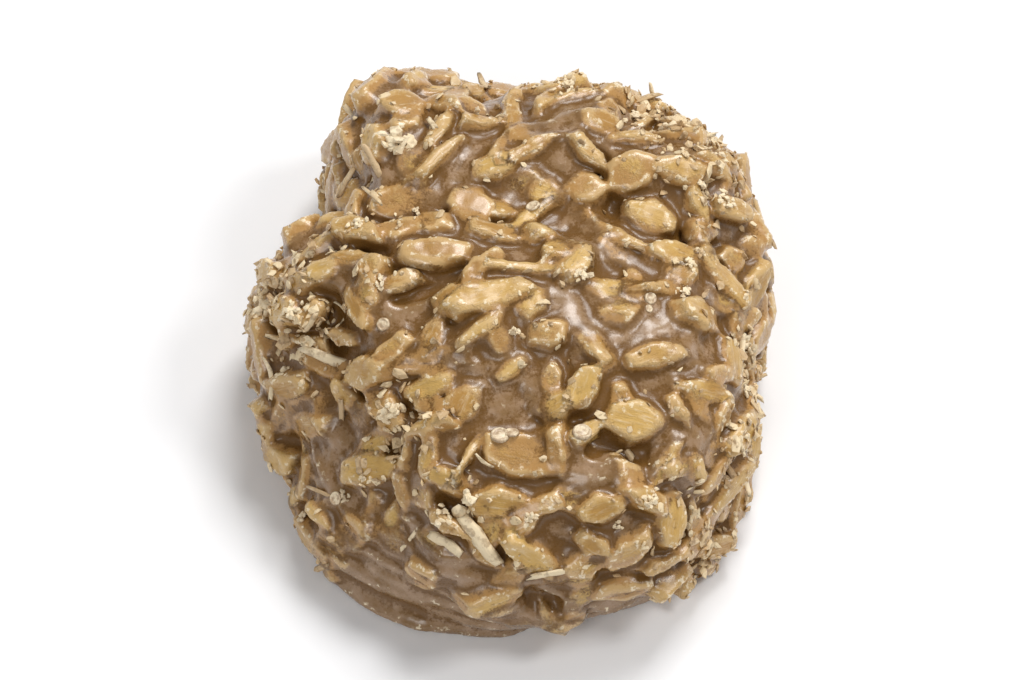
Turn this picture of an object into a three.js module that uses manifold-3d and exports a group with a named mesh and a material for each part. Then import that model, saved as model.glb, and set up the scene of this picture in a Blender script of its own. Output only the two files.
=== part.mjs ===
// A chocolate coconut rock: a spoonful of toasted coconut chips stirred into milk chocolate and
// dropped on a sheet to set. It is one solid, a craggy mound with a flat underside, with the chips
// that stand out of its skin fused to it.
// Millimetres, +Z up, the origin on the underside, below the middle of the bounding box.
// Azimuths are in degrees, 0 to the right (+X), 90 to the back (+Y), 270 to the front (-Y).
import * as THREE from "three";
import { mergeVertices } from "three/addons/utils/BufferGeometryUtils.js";
import Module from "manifold-3d";

// The mound of chocolate and chips, without the chips that stand proud of it.
const MOUND_WIDTH = 36.4;
const MOUND_DEPTH = 39.8;
const MOUND_HEIGHT = 18.0;
// Bulges on its oval outline seen from above, hollows where reach is negative.
const LOBES = [
  { azimuth: 46, reach: 3.0, spread: 24 },
  { azimuth: 118, reach: 3.4, spread: 14 },
  { azimuth: 144, reach: -3.2, spread: 12 },
  { azimuth: 207, reach: -1.4, spread: 10 },
  { azimuth: 240, reach: 0.5, spread: 19 },
  { azimuth: 311, reach: 1.7, spread: 20 },
  { azimuth: 352, reach: -0.8, spread: 10 },
];
// The side is a superellipse: a high power stands steep, a low one slopes.
const STEEP_POWER = 3.6;
const SLOPE_POWER = 2.15;
const SLOPE_AZIMUTH = 226;
const SLOPE_SPREAD = 46;
// The side tucks in above the sheet, below its widest level.
const TUCK = 0.9;
const TUCK_HEIGHT = 2.4;
// At the front left the chocolate has run out into a low foot instead.
const FOOT = { azimuth: 236, spread: 34, reach: 0.6, height: 1.4 };
// Rises and hollows of the top, at x and y.
const SWELLS = [
  { x: 8, y: 12, rise: 1.3, spread: 7 },
  { x: 14.3, y: 10.3, rise: 1.2, spread: 2.8 },
  { x: -8, y: 13, rise: 1.4, spread: 6 },
  { x: -3, y: -2, rise: 1.3, spread: 6 },
  { x: 11, y: -7, rise: 0.9, spread: 6 },
  { x: 4, y: 5, rise: -1.2, spread: 4 },
  { x: 2, y: -16, rise: -1.8, spread: 9 },
  { x: -16.5, y: 3, rise: 1.6, spread: 2.6 },
  { x: -8.6, y: -6.2, rise: 1.0, spread: 2.6 },
  { x: -5.4, y: -12.4, rise: 1.2, spread: 2.8 },
  { x: -13.6, y: -4.6, rise: -3.0, spread: 3.0 },
  { x: -11.2, y: -10.8, rise: -3.2, spread: 3.4 },
  { x: -7.6, y: -16.2, rise: -2.8, spread: 3.0 },
];
// Lumps all over: waves of these lengths, each of its own height.
const LUMPS = [
  { length: 13, height: 0.36 },
  { length: 7.5, height: 0.3 },
];
// Its facets: parts of a quarter of the way round.
const QUARTER_PARTS = 12;

// Flakes that show most on the top and the front: x, y, heading, length, width.
const PLACED_FLAKES = [
  [0.2, 13.8, 90, 5.0, 1.7],
  [6.5, 12.9, 0, 3.4, 2.4],
  [-4.9, 11.7, 60, 4.2, 1.6],
  [-9.3, 10.8, 75, 3.8, 2.8],
  [-4.9, 9.5, 48, 5.4, 1.2],
  [-1.1, 8.6, 10, 3.3, 2.3],
  [8.8, 8.4, 60, 4.2, 3.4],
  [5.7, 7.3, 20, 3.0, 2.8],
  [2.7, 7.0, -20, 2.8, 2.2],
  [-7.6, 6.4, -5, 5.8, 3.4],
  [-2.8, 5.7, -25, 4.0, 2.8],
  [10.4, 5.3, -15, 5.0, 2.3],
  [-1.0, 3.1, -10, 4.6, 1.9],
  [8.2, 3.2, -33, 4.8, 1.2],
  [-5.3, 1.4, -3, 5.8, 2.6],
  [1.4, -0.2, -3, 7.2, 1.1],
  [-9.4, 0.4, 10, 2.6, 2.0],
  [-1.5, -2.6, 22, 7.4, 2.7],
  [7.2, -1.6, -20, 3.8, 2.2],
  [-10.2, -2.2, 110, 4.2, 1.6],
  [-2.0, -4.9, 32, 4.6, 1.0],
  [2.8, -5.1, 5, 3.0, 2.5],
  [10.4, -6.6, 20, 5.0, 1.9],
  [-5.6, -6.5, 0, 5.8, 2.1],
  [5.4, -8.8, 75, 3.6, 2.5],
  [-5.6, -8.3, 0, 4.8, 2.0],
  [-3.4, -9.8, 60, 3.5, 2.6],
  [14.2, -7.9, 12, 5.0, 1.8],
  [9.2, -11.2, -10, 5.2, 3.1],
  [0.6, -13.2, -12, 6.4, 3.3],
  [11.1, -13.6, 78, 4.2, 1.2],
  [6.4, -16.0, 15, 4.2, 2.2],
  [-0.8, -15.8, -10, 5.0, 2.6],
  [-8.3, -14.9, 85, 2.7, 1.3],
  [-11.2, -14.6, 45, 3.8, 2.6],
  [-1.9, -17.9, -50, 4.6, 1.2],
  [-12.8, -4.0, -38, 5.0, 2.0],
  [-4.6, -13.9, -10, 3.6, 1.5],
  [-8.3, -9.3, 40, 2.4, 2.1],
  [13.3, -13.1, 85, 3.4, 1.5],
  [4.6, -18.9, 5, 3.6, 1.7],
  [3.6, -9.9, 20, 2.6, 1.8],
  [0.1, -7.3, 40, 3.0, 0.9],
  [2.6, -15.9, 20, 2.8, 1.8],
];
const PLACED = { thick: 1.3, lean: 12, proud: -0.3, sides: 6 };
// A bare shred that sticks out low on the front.
const LOW_SHRED = {
  spot: { azimuth: 279, climb: 13, heading: -62, lean: -24, roll: 0, proud: 0.2 },
  size: { length: 4.6, width: 1.1, thick: 0.8, sides: 4, phase: 0 },
};

// The other chips, drawn from a seeded rule. Each keeps its distance from all before it.
const SEED = 20;
const CHIP_KINDS = [
  // Broad flakes.
  {
    tries: 3000,
    apart: 3.5,
    length: [3.9, 6.0],
    width: [2.0, 2.9],
    thick: [1.1, 1.6],
    sides: 6,
    lean: 18,
    proud: 0.2,
  },
  // Slim flakes between them.
  {
    tries: 2600,
    apart: 2.65,
    length: [2.8, 4.4],
    width: [1.3, 2.0],
    thick: [1.0, 1.4],
    sides: 5,
    lean: 26,
    proud: 0.2,
  },
  // Shreds, some of which stand out.
  {
    tries: 240,
    apart: 2.4,
    length: [3.6, 6.4],
    width: [0.7, 1.0],
    thick: [0.7, 0.9],
    sides: 4,
    lean: 40,
    proud: 0.5,
  },
];
// Most chips lie along the level, within this turn of HEADING.
const HEADING = 15;
const HEADING_SPREAD = 80;
// A chip's outer face is smaller than its inner one by this share.
const CHIP_TAPER = 0.74;
// Its corners lie off the ellipse by this share.
const CHIP_WOBBLE = 0.14;
// No chip comes lower than this, so the underside stays flat.
const CLEAR_OF_SHEET = 0.35;
// Smooth pools of chocolate, where no other chip shows, at x and y.
const POOLS = [
  { x: -9.8, y: -17.0, size: 4.0 },
  { x: -4, y: -19.5, size: 4.0 },
  { x: -12.2, y: -9.8, size: 2.6 },
  { x: 3.6, y: 4.6, size: 2.3 },
  { x: 4.4, y: -3.0, size: 2.0 },
  { x: 10.0, y: -3.2, size: 2.3 },
  { x: 0.4, y: -10.0, size: 2.4 },
  { x: 5.7, y: -13.6, size: 2.2 },
  { x: 2, y: -19.6, size: 3.4 },
  { x: 7.4, y: -19, size: 3.0 },
  { x: -7.8, y: -3.6, size: 1.8 },
  { x: 13.6, y: -5.4, size: 2.0 },
  { x: 4.2, y: 12.2, size: 2.4 },
  { x: -6.2, y: -0.9, size: 1.8 },
  { x: -1.0, y: -20.1, size: 3.0 },
  { x: -7.5, y: -18.2, size: 2.6 },
  { x: -6.4, y: -15.9, size: 2.0 },
  { x: -3.6, y: -18.4, size: 2.2 },
  { x: 10.5, y: 0.6, size: 1.5 },
  { x: 14.4, y: 3.4, size: 1.8 },
  { x: 13.6, y: -10.8, size: 1.7 },
  { x: -11.4, y: -11.4, size: 2.0 },
  { x: 7.0, y: -4.6, size: 1.9 },
  { x: 5.2, y: 1.6, size: 1.2 },
  { x: 10.6, y: 8.6, size: 1.2 },
  { x: -11.2, y: 0.4, size: 1.4 },
];

const wasm = await Module();
wasm.setup();

const radians = THREE.MathUtils.degToRad;
const degrees = THREE.MathUtils.radToDeg;

// Numbers from 0 to 1 that repeat for a seed.
function drawer(seed) {
  let state = seed >>> 0;
  return () => {
    state = (state + 0x6d2b79f5) >>> 0;
    let mixed = Math.imul(state ^ (state >>> 15), state | 1);
    mixed = (mixed + Math.imul(mixed ^ (mixed >>> 7), mixed | 61)) ^ mixed;
    return ((mixed ^ (mixed >>> 14)) >>> 0) / 4294967296;
  };
}

// A bell of height 1 at no distance.
function bell(distance, spread) {
  return Math.exp(-((distance / spread) ** 2));
}

// The turn from one azimuth to another, from -180 to 180.
function turn(from, to) {
  return ((((to - from + 180) % 360) + 360) % 360) - 180;
}

// The radius of the mound seen from above.
function outline(azimuth) {
  const angle = radians(azimuth);
  const oval =
    1 / Math.hypot(Math.cos(angle) / MOUND_WIDTH, Math.sin(angle) / MOUND_DEPTH);
  return LOBES.reduce(
    (radius, lobe) =>
      radius + lobe.reach * bell(turn(lobe.azimuth, azimuth), lobe.spread),
    oval / 2,
  );
}

function sidePower(azimuth) {
  const slope = bell(turn(SLOPE_AZIMUTH, azimuth), SLOPE_SPREAD);
  return STEEP_POWER + (SLOPE_POWER - STEEP_POWER) * slope;
}

function lumps(x, y, z) {
  return LUMPS.reduce((sum, { length, height }) => {
    const k = (2 * Math.PI) / length;
    const wave =
      Math.sin(k * (x + 0.6 * z) + 1.3) +
      Math.sin(k * (y - 0.5 * z) + length) +
      Math.sin(k * (0.7 * x - 0.7 * y + z) + 4.1);
    return sum + (height * wave) / 2;
  }, 0);
}

// A point of the mound's skin. climb is the angle up from the sheet, 0 to 90.
function skin(azimuth, climb, at = new THREE.Vector3()) {
  const angle = radians(azimuth);
  const power = sidePower(azimuth);
  const level = Math.max(Math.cos(radians(climb)), 0);
  const rise = Math.max(Math.sin(radians(climb)), 0);
  const scale = (level ** power + rise ** power) ** (-1 / power);
  let z = MOUND_HEIGHT * rise * scale;
  const foot = bell(turn(FOOT.azimuth, azimuth), FOOT.spread);
  const radius =
    level * scale * outline(azimuth) -
    (1 - foot) * TUCK * bell(z, TUCK_HEIGHT) +
    foot * FOOT.reach * bell(z, FOOT.height);
  const x = radius * Math.cos(angle);
  const y = radius * Math.sin(angle);
  const high = z / MOUND_HEIGHT;
  for (const swell of SWELLS) {
    const off = Math.hypot(x - swell.x, y - swell.y);
    z += swell.rise * bell(off, swell.spread) * high;
  }
  const grow = 1 + lumps(x, y, z) / (MOUND_WIDTH / 2);
  return at.set(x * grow, y * grow, z * grow);
}

// The azimuth and climb of the skin above x and y, before its lumps.
function above(x, y) {
  const azimuth = degrees(Math.atan2(y, x));
  const power = sidePower(azimuth);
  const share = Math.min(Math.hypot(x, y) / outline(azimuth), 0.999);
  return { azimuth, climb: degrees(Math.atan((share ** -power - 1) ** (1 / power))) };
}

// The outward direction of the skin there.
function skinNormal(azimuth, climb) {
  const step = 1;
  const along = skin(azimuth + step, climb).sub(skin(azimuth - step, climb));
  const low = Math.max(climb - step, 0);
  const high = Math.min(climb + step, 90 - step);
  const up = skin(azimuth, high).sub(skin(azimuth, low));
  return along.cross(up).normalize();
}

// The mound is an octahedron's sphere whose upper half is moved to the skin and whose lower half
// is pressed flat on the sheet.
function moundGeometry() {
  const geometry = new THREE.OctahedronGeometry(1, QUARTER_PARTS - 1);
  const points = geometry.getAttribute("position");
  const point = new THREE.Vector3();
  for (let i = 0; i < points.count; i++) {
    point.fromBufferAttribute(points, i);
    const azimuth = degrees(Math.atan2(point.y, point.x));
    const climb = degrees(Math.asin(THREE.MathUtils.clamp(point.z, -1, 1)));
    skin(azimuth, Math.max(climb, 0), point);
    if (climb < 0) point.multiplyScalar(1 + climb / 90);
    points.setXYZ(i, point.x, point.y, point.z);
  }
  return geometry;
}

// A chip lies on the skin there: its middle, its directions and its size.
function layChip({ azimuth, climb, heading, lean, roll, proud }, size) {
  const out = skinNormal(azimuth, climb);
  const place = skin(azimuth, climb).addScaledVector(out, proud);
  const level = out.z > 0.6 ? new THREE.Vector3(0, 1, 0) : new THREE.Vector3(0, 0, 1);
  const along = level.cross(out).normalize().applyAxisAngle(out, radians(heading));
  const across = out.clone().cross(along);
  along.applyAxisAngle(across, radians(lean));
  const face = along.clone().cross(across).applyAxisAngle(along, radians(roll));
  return { place, along, face, across: face.clone().cross(along), ...size };
}

function reachDown({ along, across, face, length, width, thick }) {
  const reach =
    Math.abs(along.z) * length + Math.abs(across.z) * width + Math.abs(face.z) * thick;
  return reach / 2;
}

function layChips() {
  const draw = drawer(SEED);
  const between = ([low, high]) => low + (high - low) * draw();
  const either = (most) => most * (draw() + draw() - 1);
  const pools = POOLS.map(({ x, y, size }) => {
    const { azimuth, climb } = above(x, y);
    return { place: skin(azimuth, climb), size };
  });
  const chips = [];
  for (const [x, y, heading, length, width] of PLACED_FLAKES) {
    const lean = either(PLACED.lean);
    const roll = either(PLACED.lean);
    const proud = PLACED.proud * draw();
    const size = { ...PLACED, length, width, phase: 2 * Math.PI * draw() };
    chips.push(layChip({ ...above(x, y), heading, lean, roll, proud }, size));
  }
  chips.push(layChip(LOW_SHRED.spot, LOW_SHRED.size));
  for (const kind of CHIP_KINDS) {
    for (let i = 0; i < kind.tries; i++) {
      const spot = {
        azimuth: 360 * draw(),
        climb: 90 * (1 - Math.sqrt(draw())),
        heading: HEADING + either(HEADING_SPREAD),
        lean: either(kind.lean),
        roll: either(kind.lean),
        proud: kind.proud * draw(),
      };
      const size = {
        length: between(kind.length),
        width: between(kind.width),
        thick: between(kind.thick),
        sides: kind.sides,
        phase: 2 * Math.PI * draw(),
      };
      const place = skin(spot.azimuth, spot.climb);
      if (chips.some((chip) => chip.place.distanceTo(place) < kind.apart)) continue;
      if (pools.some((pool) => pool.place.distanceTo(place) < pool.size)) continue;
      const chip = layChip(spot, size);
      if (chip.place.z - reachDown(chip) > CLEAR_OF_SHEET) chips.push(chip);
    }
  }
  return chips;
}

// A chip is a flat tapered prism, its small face outward, its corners uneven.
function chipGeometry(chip) {
  const geometry = new THREE.CylinderGeometry(CHIP_TAPER / 2, 0.5, 1, chip.sides);
  geometry.rotateX(Math.PI / 2);
  const points = geometry.getAttribute("position");
  for (let i = 0; i < points.count; i++) {
    const angle = Math.atan2(points.getY(i), points.getX(i));
    const wobble = 1 + CHIP_WOBBLE * Math.sin(2 * angle + chip.phase);
    points.setXY(i, points.getX(i) * wobble, points.getY(i) * wobble);
  }
  geometry.scale(chip.length, chip.width, chip.thick);
  const turned = new THREE.Matrix4().makeBasis(chip.along, chip.across, chip.face);
  return geometry.applyMatrix4(turned.setPosition(chip.place));
}

function solid(geometry) {
  geometry.deleteAttribute("normal");
  geometry.deleteAttribute("uv");
  const merged = mergeVertices(geometry, 1e-4);
  return new wasm.Manifold(
    new wasm.Mesh({
      numProp: 3,
      vertProperties: merged.getAttribute("position").array,
      triVerts: new Uint32Array(merged.index.array),
    }),
  );
}

function geometryOf(manifold) {
  const { vertProperties, triVerts } = manifold.getMesh();
  return new THREE.BufferGeometry()
    .setAttribute("position", new THREE.BufferAttribute(vertProperties, 3))
    .setIndex(new THREE.BufferAttribute(triVerts, 1));
}

// The mound with its chips, less any chip that doesn't touch it.
function rockGeometry() {
  const pieces = [moundGeometry(), ...layChips().map(chipGeometry)].map(solid);
  const bodies = wasm.Manifold.union(pieces).decompose();
  const largest = bodies.reduce((a, b) => (b.volume() > a.volume() ? b : a));
  const geometry = geometryOf(largest);
  geometry.computeBoundingBox();
  const middle = geometry.boundingBox.getCenter(new THREE.Vector3());
  return geometry.translate(-middle.x, -middle.y, 0);
}

const chocolate = new THREE.MeshStandardMaterial({
  color: 0xa6855e,
  roughness: 0.42,
  metalness: 0,
  flatShading: true,
});

const rock = new THREE.Mesh(rockGeometry(), chocolate);
rock.name = "rock";

const part = new THREE.Group();
part.add(rock);

export default part;
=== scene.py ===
"""A chocolate coconut rock: toasted coconut chips in milk chocolate, set in a craggy mound.

The coated mound is worked out as a field of distances to the mound and to each chip, blended as
melted chocolate blends them, and meshed. Crumbs, lumps, shreds and bubble rims are laid on it.
The forms are worked out in millimetres, as the part's source does, and scaled into the scene.
"""
import math

import bmesh
import bpy
import numpy as np
from bpy.props import FloatProperty, FloatVectorProperty, IntProperty, PointerProperty
from mathutils import Matrix, Vector
from mathutils import noise as noise_kit


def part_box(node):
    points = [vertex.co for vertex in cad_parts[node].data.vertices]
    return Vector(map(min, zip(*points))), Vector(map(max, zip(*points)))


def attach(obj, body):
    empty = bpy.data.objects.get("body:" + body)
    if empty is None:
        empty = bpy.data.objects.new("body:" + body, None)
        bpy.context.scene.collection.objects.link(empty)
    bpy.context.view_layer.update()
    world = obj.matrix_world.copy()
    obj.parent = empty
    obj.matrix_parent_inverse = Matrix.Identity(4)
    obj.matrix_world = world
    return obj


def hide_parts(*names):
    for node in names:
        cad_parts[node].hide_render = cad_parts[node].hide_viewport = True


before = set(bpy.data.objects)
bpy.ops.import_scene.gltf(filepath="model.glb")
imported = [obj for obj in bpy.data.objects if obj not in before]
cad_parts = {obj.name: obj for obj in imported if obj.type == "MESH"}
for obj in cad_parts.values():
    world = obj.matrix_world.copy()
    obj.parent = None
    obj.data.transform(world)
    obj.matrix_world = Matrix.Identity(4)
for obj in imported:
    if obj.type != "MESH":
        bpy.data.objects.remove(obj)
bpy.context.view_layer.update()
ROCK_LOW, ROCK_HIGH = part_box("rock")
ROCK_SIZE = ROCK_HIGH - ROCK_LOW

bl_info = {
    "name": "Chocolate coconut rock",
    "version": (1, 0, 0),
    "blender": (4, 5, 0),
    "location": "3D View > Sidebar > Coconut rock",
    "description": "Dresses a chocolate coconut rock in milk chocolate and toasted coconut",
    "category": "Object",
}

MM = 0.001

# The mound of chocolate and chips, as in the part's source.
MOUND_WIDTH = 36.4
MOUND_DEPTH = 39.8
MOUND_HEIGHT = 18.0
LOBES = [
    {"azimuth": 46, "reach": 3.0, "spread": 24},
    {"azimuth": 118, "reach": 3.4, "spread": 14},
    {"azimuth": 144, "reach": -3.2, "spread": 12},
    {"azimuth": 207, "reach": -1.4, "spread": 10},
    {"azimuth": 240, "reach": 0.5, "spread": 19},
    {"azimuth": 311, "reach": 1.7, "spread": 20},
    {"azimuth": 352, "reach": -0.8, "spread": 10},
]
STEEP_POWER = 3.6
SLOPE_POWER = 2.15
SLOPE_AZIMUTH = 226
SLOPE_SPREAD = 46
TUCK = 0.9
TUCK_HEIGHT = 2.4
FOOT = {"azimuth": 236, "spread": 34, "reach": 0.6, "height": 1.4}
SWELLS = [
    {"x": 8, "y": 12, "rise": 1.3, "spread": 7},
    {"x": 14.3, "y": 10.3, "rise": 1.2, "spread": 2.8},
    {"x": -8, "y": 13, "rise": 1.4, "spread": 6},
    {"x": -3, "y": -2, "rise": 1.3, "spread": 6},
    {"x": 11, "y": -7, "rise": 0.9, "spread": 6},
    {"x": 4, "y": 5, "rise": -1.2, "spread": 4},
    {"x": 2, "y": -16, "rise": -1.8, "spread": 9},
    {"x": -16.5, "y": 3, "rise": 1.6, "spread": 2.6},
    {"x": -8.6, "y": -6.2, "rise": 1.0, "spread": 2.6},
    {"x": -5.4, "y": -12.4, "rise": 1.2, "spread": 2.8},
    {"x": -13.6, "y": -4.6, "rise": -3.0, "spread": 3.0},
    {"x": -11.2, "y": -10.8, "rise": -3.2, "spread": 3.4},
    {"x": -7.6, "y": -16.2, "rise": -2.8, "spread": 3.0},
]
LUMPS = [
    {"length": 13, "height": 0.36},
    {"length": 7.5, "height": 0.3},
]

# Flakes that show most on the top and the front: x, y, heading, length, width.
PLACED_FLAKES = [
    (0.2, 13.8, 90, 5.0, 1.7),
    (6.5, 12.9, 0, 3.4, 2.4),
    (-4.9, 11.7, 60, 4.2, 1.6),
    (-9.3, 10.8, 75, 3.8, 2.8),
    (-4.9, 9.5, 48, 5.4, 1.2),
    (-1.1, 8.6, 10, 3.3, 2.3),
    (8.8, 8.4, 60, 4.2, 3.4),
    (5.7, 7.3, 20, 3.0, 2.8),
    (2.7, 7.0, -20, 2.8, 2.2),
    (-7.6, 6.4, -5, 5.8, 3.4),
    (-2.8, 5.7, -25, 4.0, 2.8),
    (10.4, 5.3, -15, 5.0, 2.3),
    (-1.0, 3.1, -10, 4.6, 1.9),
    (8.2, 3.2, -33, 4.8, 1.2),
    (-5.3, 1.4, -3, 5.8, 2.6),
    (1.4, -0.2, -3, 7.2, 1.1),
    (-9.4, 0.4, 10, 2.6, 2.0),
    (-1.5, -2.6, 22, 7.4, 2.7),
    (7.2, -1.6, -20, 3.8, 2.2),
    (-10.2, -2.2, 110, 4.2, 1.6),
    (-2.0, -4.9, 32, 4.6, 1.0),
    (2.8, -5.1, 5, 3.0, 2.5),
    (10.4, -6.6, 20, 5.0, 1.9),
    (-5.6, -6.5, 0, 5.8, 2.1),
    (5.4, -8.8, 75, 3.6, 2.5),
    (-5.6, -8.3, 0, 4.8, 2.0),
    (-3.4, -9.8, 60, 3.5, 2.6),
    (14.2, -7.9, 12, 5.0, 1.8),
    (9.2, -11.2, -10, 5.2, 3.1),
    (0.6, -13.2, -12, 6.4, 3.3),
    (11.1, -13.6, 78, 4.2, 1.2),
    (6.4, -16.0, 15, 4.2, 2.2),
    (-0.8, -15.8, -10, 5.0, 2.6),
    (-8.3, -14.9, 85, 2.7, 1.3),
    (-11.2, -14.6, 45, 3.8, 2.6),
    (-1.9, -17.9, -50, 4.6, 1.2),
    (-12.8, -4.0, -38, 5.0, 2.0),
    (-4.6, -13.9, -10, 3.6, 1.5),
    (-8.3, -9.3, 40, 2.4, 2.1),
    (13.3, -13.1, 85, 3.4, 1.5),
    (4.6, -18.9, 5, 3.6, 1.7),
    (3.6, -9.9, 20, 2.6, 1.8),
    (0.1, -7.3, 40, 3.0, 0.9),
    (2.6, -15.9, 20, 2.8, 1.8),
]
PLACED = {"thick": 1.3, "lean": 12, "proud": -0.3, "sides": 6}
LOW_SHRED = {
    "spot": {"azimuth": 279, "climb": 13, "heading": -62, "lean": -24, "roll": 0, "proud": 0.2},
    "size": {"length": 4.6, "width": 1.1, "thick": 0.8, "sides": 4, "phase": 0},
}
SEED = 20
CHIP_KINDS = [
    {
        "tries": 3000,
        "apart": 3.5,
        "length": (3.9, 6.0),
        "width": (2.0, 2.9),
        "thick": (1.1, 1.6),
        "sides": 6,
        "lean": 18,
        "proud": 0.2,
    },
    {
        "tries": 2600,
        "apart": 2.65,
        "length": (2.8, 4.4),
        "width": (1.3, 2.0),
        "thick": (1.0, 1.4),
        "sides": 5,
        "lean": 26,
        "proud": 0.2,
    },
    {
        "tries": 240,
        "apart": 2.4,
        "length": (3.6, 6.4),
        "width": (0.7, 1.0),
        "thick": (0.7, 0.9),
        "sides": 4,
        "lean": 40,
        "proud": 0.5,
    },
]
HEADING = 15
HEADING_SPREAD = 80
CHIP_TAPER = 0.74
CHIP_WOBBLE = 0.14
CLEAR_OF_SHEET = 0.35
POOLS = [
    {"x": -9.8, "y": -17.0, "size": 4.0},
    {"x": -4, "y": -19.5, "size": 4.0},
    {"x": -12.2, "y": -9.8, "size": 2.6},
    {"x": 3.6, "y": 4.6, "size": 2.3},
    {"x": 4.4, "y": -3.0, "size": 2.0},
    {"x": 10.0, "y": -3.2, "size": 2.3},
    {"x": 0.4, "y": -10.0, "size": 2.4},
    {"x": 5.7, "y": -13.6, "size": 2.2},
    {"x": 2, "y": -19.6, "size": 3.4},
    {"x": 7.4, "y": -19, "size": 3.0},
    {"x": -7.8, "y": -3.6, "size": 1.8},
    {"x": 13.6, "y": -5.4, "size": 2.0},
    {"x": 4.2, "y": 12.2, "size": 2.4},
    {"x": -6.2, "y": -0.9, "size": 1.8},
    {"x": -1.0, "y": -20.1, "size": 3.0},
    {"x": -7.5, "y": -18.2, "size": 2.6},
    {"x": -6.4, "y": -15.9, "size": 2.0},
    {"x": -3.6, "y": -18.4, "size": 2.2},
    {"x": 10.5, "y": 0.6, "size": 1.5},
    {"x": 14.4, "y": 3.4, "size": 1.8},
    {"x": 13.6, "y": -10.8, "size": 1.7},
    {"x": -11.4, "y": -11.4, "size": 2.0},
    {"x": 7.0, "y": -4.6, "size": 1.9},
    {"x": 5.2, "y": 1.6, "size": 1.2},
    {"x": 10.6, "y": 8.6, "size": 1.2},
    {"x": -11.2, "y": 0.4, "size": 1.4},
]

# The chocolate coat, and the small chips that fill the gaps between the solid's chips.
CHIP_SEED = 7
FILLER_SEED = 5
FILLERS = {
    "tries": 2600,
    "apart": 2.1,
    "clear": 0.35,
    "length": (2.2, 4.2),
    "width": (1.4, 2.5),
    "thick": (0.8, 1.2),
    "sides": (5, 7),
    "proud": (-0.45, 0.0),
    "lean": 18,
    "above_sheet": 1.4,
    "top_climb": 50,
    "share_on_top": 0.4,
    "pool_share": 0.85,
    "heading_spread": 90,
}
COATS = (0.1, 1.0)
# The placed flakes that stay under the chocolate, counted from 0.
COATED_FLAKES = (6, 7, 9, 10, 14, 16, 21, 23, 29, 34, 36, 43)
COATED_FLAKE_COAT = 0.85
BARE_FLAKE_SHARE = 0.35
EDGE_POWER = 17
FACE_TILT = 0.12
FACE_TILT_LENGTH = 3
FACE_ROOM = 1.12
FACE_TAPER = 0.88
FACE_LIFT = 0.03
CORNER_CUTS = 4
CUT_LEAN = np.array([1.0, 1.0, 0.5])
CUT_SHARE = (0.8, 0.95)
CHIP_BEND = 0.3
CHIP_BEND_SHARE = (-0.4, 1.0)
CHIP_BEND_LEVEL = 0.3
CHIP_CLEARANCE = 2.2
TIGHT_BLEND = 0.3
LOOSE_BLEND = 1.0
SINK_ON_TOP = -0.06
SINK_ON_WALLS = 0.06
WALL_START = 9
WALL_REACH = 6
UNEVEN_SINK_MOST = 1.8
LEVEL_RIPPLE = {"length": 6.0, "phase": 1.4, "middle": 0.7, "swing": 0.9}
BLEND_RIPPLE = {"length": 9.0, "phase": 0.4, "middle": 0.42, "swing": 0.5}
LOOSER_IN_POOLS = 0.6
RISE_IN_POOLS = 0.3
POOL_FULLNESS = 1.4
FIELD_MARGIN = 1.5
FILM_REACH = 1.5
NO_CHIP_NEAR = 9.0
STREAK_SHIFT = 40
HOLLOW_REACH = 0.8
CREST_ROUNDS = 8
UNDERSIDE_HEIGHT = 0.02
FILM_RANGE = (-0.2, 2.0)
RISE_RANGE = (0, 2)
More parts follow.
